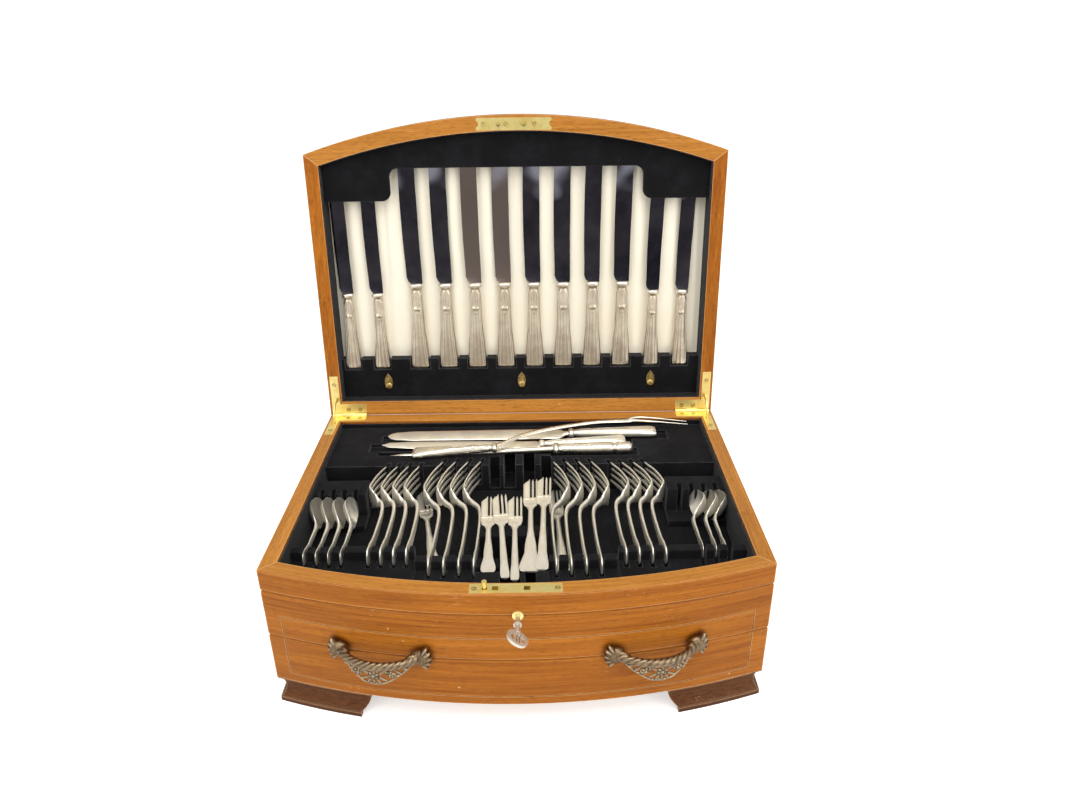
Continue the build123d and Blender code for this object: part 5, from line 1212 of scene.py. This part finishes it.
# %% Leaf clips
def leaf_clip(shape, x, pivot_u):
    """A leaf clip: its rivet at pivot_u from the hinge, its point towards the knives."""
    face = rim_z + 12.0 - 0.15  # the bar's face, less a little so that no gap shows
    outline = []
    for k in range(40):
        angle = 2 * math.pi * k / 40
        c, s = math.cos(angle), math.sin(angle)
        taper = 1 if c < 0.2 else (1.25 - c**3) * 0.85
        outline.append((1.35 * s * (3.3 - 1.0 * c) * taper, c * 8.4))
    rings = []
    for size, height in (
        (1.0, 0.0), (1.0, 1.0), (0.93, 1.35), (0.76, 1.35), (0.70, 0.85), (0.60, 0.85), (0.54, 1.3), (0.3, 1.45),
        (0.05, 1.5),
    ):
        rings.append([(x + px * size, back_y - (pivot_u + 6.4 + py * size), face - height) for px, py in outline])
    shape.loft(rings)
    rivet = []
    for size, height in ((3.9, 0.0), (3.9, 1.5), (3.4, 2.0), (2.0, 2.35), (0.2, 2.45)):
        ovals = [oval(k, 24) for k in range(24)]
        rivet.append([(x + size * c, back_y - pivot_u - size * s, face - height) for c, s in ovals])
    shape.loft(rivet)


for x, side in ((-149, "left"), (1.3, "centre"), (146.5, "right")):
    clip = Shape()
    leaf_clip(clip, x, 30.5)
    make_piece(f"leaf_clip_{side}", clip.moved(open_lid), f"clip_{side}", old_brass, [f"turn_clip_{side}"])

# %% [markdown]
# ## Screws
# The brass is held by slotted countersunk screws. One head is built from a cylinder with a slot cut across it,
# and Geometry Nodes set a copy at every point, each turned by its own angle.

# %% Screw heads by Geometry Nodes
heads = bpy.data.node_groups.new("slotted_screws", "GeometryNodeTree")
heads.interface.new_socket("Geometry", in_out="INPUT", socket_type="NodeSocketGeometry")
radius_socket = heads.interface.new_socket("Radius", in_out="INPUT", socket_type="NodeSocketFloat")
heads.interface.new_socket("Geometry", in_out="OUTPUT", socket_type="NodeSocketGeometry")
gin, gout = heads.nodes.new("NodeGroupInput"), heads.nodes.new("NodeGroupOutput")
disc = node(heads, "GeometryNodeMeshCylinder", Vertices=28, Depth=0.0011)
heads.links.new(gin.outputs["Radius"], disc.inputs["Radius"])
slot_bar = node(heads, "GeometryNodeMeshCube")
slot_bar.inputs["Size"].default_value = (0.02, 0.00062, 0.0009)
sunk = node(heads, "GeometryNodeTransform")
sunk.inputs["Translation"].default_value = (0, 0, 0.00055)
heads.links.new(slot_bar.outputs["Mesh"], sunk.inputs["Geometry"])
cut = node(heads, "GeometryNodeMeshBoolean", operation="DIFFERENCE")
heads.links.new(disc.outputs["Mesh"], cut.inputs["Mesh 1"])
heads.links.new(sunk.outputs["Geometry"], cut.inputs["Mesh 2"])
turn_of = node(heads, "GeometryNodeInputNamedAttribute", data_type="FLOAT_VECTOR")
turn_of.inputs["Name"].default_value = "turn"
spread_out = node(heads, "GeometryNodeInstanceOnPoints")
heads.links.new(gin.outputs["Geometry"], spread_out.inputs["Points"])
heads.links.new(cut.outputs["Mesh"], spread_out.inputs["Instance"])
heads.links.new(turn_of.outputs["Attribute"], spread_out.inputs["Rotation"])
real = node(heads, "GeometryNodeRealizeInstances")
heads.links.new(spread_out.outputs["Instances"], real.inputs["Geometry"])
dress = node(heads, "GeometryNodeSetMaterial")
dress.inputs["Material"].default_value = old_brass
heads.links.new(real.outputs["Geometry"], dress.inputs["Geometry"])
heads.links.new(dress.outputs["Geometry"], gout.inputs["Geometry"])


# %% Screws on the leaves and plates
def screws(name, places, body, carry=None, facing_down=False):
    """Screw heads at (x, y, z, turn in degrees) in millimetres, as one plain mesh on a body."""
    mesh = bpy.data.meshes.new(name)
    mesh.from_pydata([Vector(p[:3]) * MM for p in places], [], [])
    turns = mesh.attributes.new("turn", "FLOAT_VECTOR", "POINT")
    flip = math.pi if facing_down else 0.0
    for i, p in enumerate(places):
        turns.data[i].vector = (flip, 0.0, math.radians(p[3]))
    rough = bpy.data.objects.new(name + "_points", mesh)
    scene.collection.objects.link(rough)
    nodes = rough.modifiers.new("screws", "NODES")
    nodes.node_group = heads
    nodes[radius_socket.identifier] = 0.0024
    bpy.context.view_layer.update()
    done = bpy.data.meshes.new_from_object(rough.evaluated_get(bpy.context.evaluated_depsgraph_get()))
    bpy.data.objects.remove(rough)
    if carry:
        done.transform(Matrix.Diagonal((MM, MM, MM, 1)) @ carry @ Matrix.Diagonal((1000, 1000, 1000, 1)))
    return finish_piece(name, done, body, old_brass)


leaf_places = ((181.5, back_y - 6.5), (194.5, back_y - 6.5), (208.0, back_y - 36))
leaf_screws = [(side * x, y) for side in (-1, 1) for x, y in leaf_places]
plate_y, sunk_by = -163.25, 0.43
case_z, lid_z = rim_z - sunk_by, lid_base + sunk_by
screws(
    "case_screws",
    [(x, y, case_z, 37 * i + 10) for i, (x, y) in enumerate(leaf_screws)]
    + [(x, plate_y, case_z, 64 * i + 20) for i, x in enumerate((-34, 33))],
    "case",
)
screws(
    "lid_screws",
    [(x, y, lid_z, 53 * i + 25) for i, (x, y) in enumerate(leaf_screws)]
    + [(x, plate_y, lid_z, 41 * i) for i, x in enumerate((-32, -9.5, 19))],
    "lid", open_lid, True,
)

# %% [markdown]
# ## Floor, light and camera
# A white floor, three soft lamps and the camera are only there to look at the chest, and aren't part of it.

# %% Floor and surroundings
floor_mesh = bpy.data.meshes.new("floor")
floor_mesh.from_pydata([(-60, -60, 0), (60, -60, 0), (60, 60, 0), (-60, 60, 0)], [], [(0, 1, 2, 3)])
floor = bpy.data.objects.new("floor", floor_mesh)
scene.collection.objects.link(floor)
floor_paint, tree, shader = new_material(
    "floor_paint", Base_Color=(0.94, 0.94, 0.94, 1), Roughness=0.9, Specular_IOR_Level=0.1, Emission_Color=(1, 1, 1, 1)
)
rays = node(tree, "ShaderNodeLightPath")
tree.links.new(math_node(tree, "MULTIPLY", rays.outputs["Is Camera Ray"], 0.5), shader.inputs["Emission Strength"])
floor_mesh.materials.append(floor_paint)
world = bpy.data.worlds.new("studio")
scene.world = world
world.use_nodes = True
tree = world.node_tree
background = tree.nodes["Background"]
rays = node(tree, "ShaderNodeLightPath")
seen = rays.outputs["Is Camera Ray"]
strength = node(tree, "ShaderNodeMapRange")
strength.inputs["To Min"].default_value, strength.inputs["To Max"].default_value = 0.70, 1.0
tree.links.new(seen, strength.inputs["Value"])
tree.links.new(mix_colour(tree, seen, (1.0, 0.98, 0.95), (1.0, 1.0, 1.0)), background.inputs["Color"])
tree.links.new(strength.outputs["Result"], background.inputs["Strength"])


# %% Lamps
def softbox(name, place, aim, size, power):
    """A square area lamp that looks at a point."""
    lamp = bpy.data.lights.new(name, "AREA")
    lamp.size, lamp.energy = size, power
    holder = bpy.data.objects.new(name, lamp)
    scene.collection.objects.link(holder)
    holder.location = place
    holder.rotation_euler = (Vector(aim) - Vector(place)).to_track_quat("-Z", "Y").to_euler()


softbox("overhead", (0.1, -0.55, 1.5), (0, 0, 0.2), 1.1, 14.0)
softbox("front_left", (-0.9, -1.3, 0.9), (0, 0, 0.2), 0.9, 5.0)
softbox("front_right", (1.1, -1.2, 0.8), (0, 0, 0.2), 0.9, 6.0)

# %% Camera
camera_data = bpy.data.cameras.new("view")
sensor, picture_width, focal_length = 36.0, 1080, 825.08  # millimetres, then pixels
camera_data.sensor_width, camera_data.lens = sensor, focal_length / picture_width * sensor
camera = bpy.data.objects.new("view", camera_data)
scene.collection.objects.link(camera)
scene.camera = camera
eye = (0.01856, -0.68864, 0.56329)
yaw, pitch, roll = math.radians(0.203), math.radians(26.11), math.radians(-0.65)
forward = Vector((math.sin(yaw) * math.cos(pitch), math.cos(yaw) * math.cos(pitch), -math.sin(pitch)))
right = Vector((math.cos(yaw), -math.sin(yaw), 0))
up = right.cross(forward)
right, up = math.cos(roll) * right + math.sin(roll) * up, -math.sin(roll) * right + math.cos(roll) * up
camera.matrix_world = Matrix((
    (right.x, up.x, -forward.x, eye[0]),
    (right.y, up.y, -forward.y, eye[1]),
    (right.z, up.z, -forward.z, eye[2]),
    (0, 0, 0, 1),
))
scene.view_settings.view_transform = "Standard"

# %% [markdown]
# ## The end

# %% The end
bpy.context.view_layer.update()
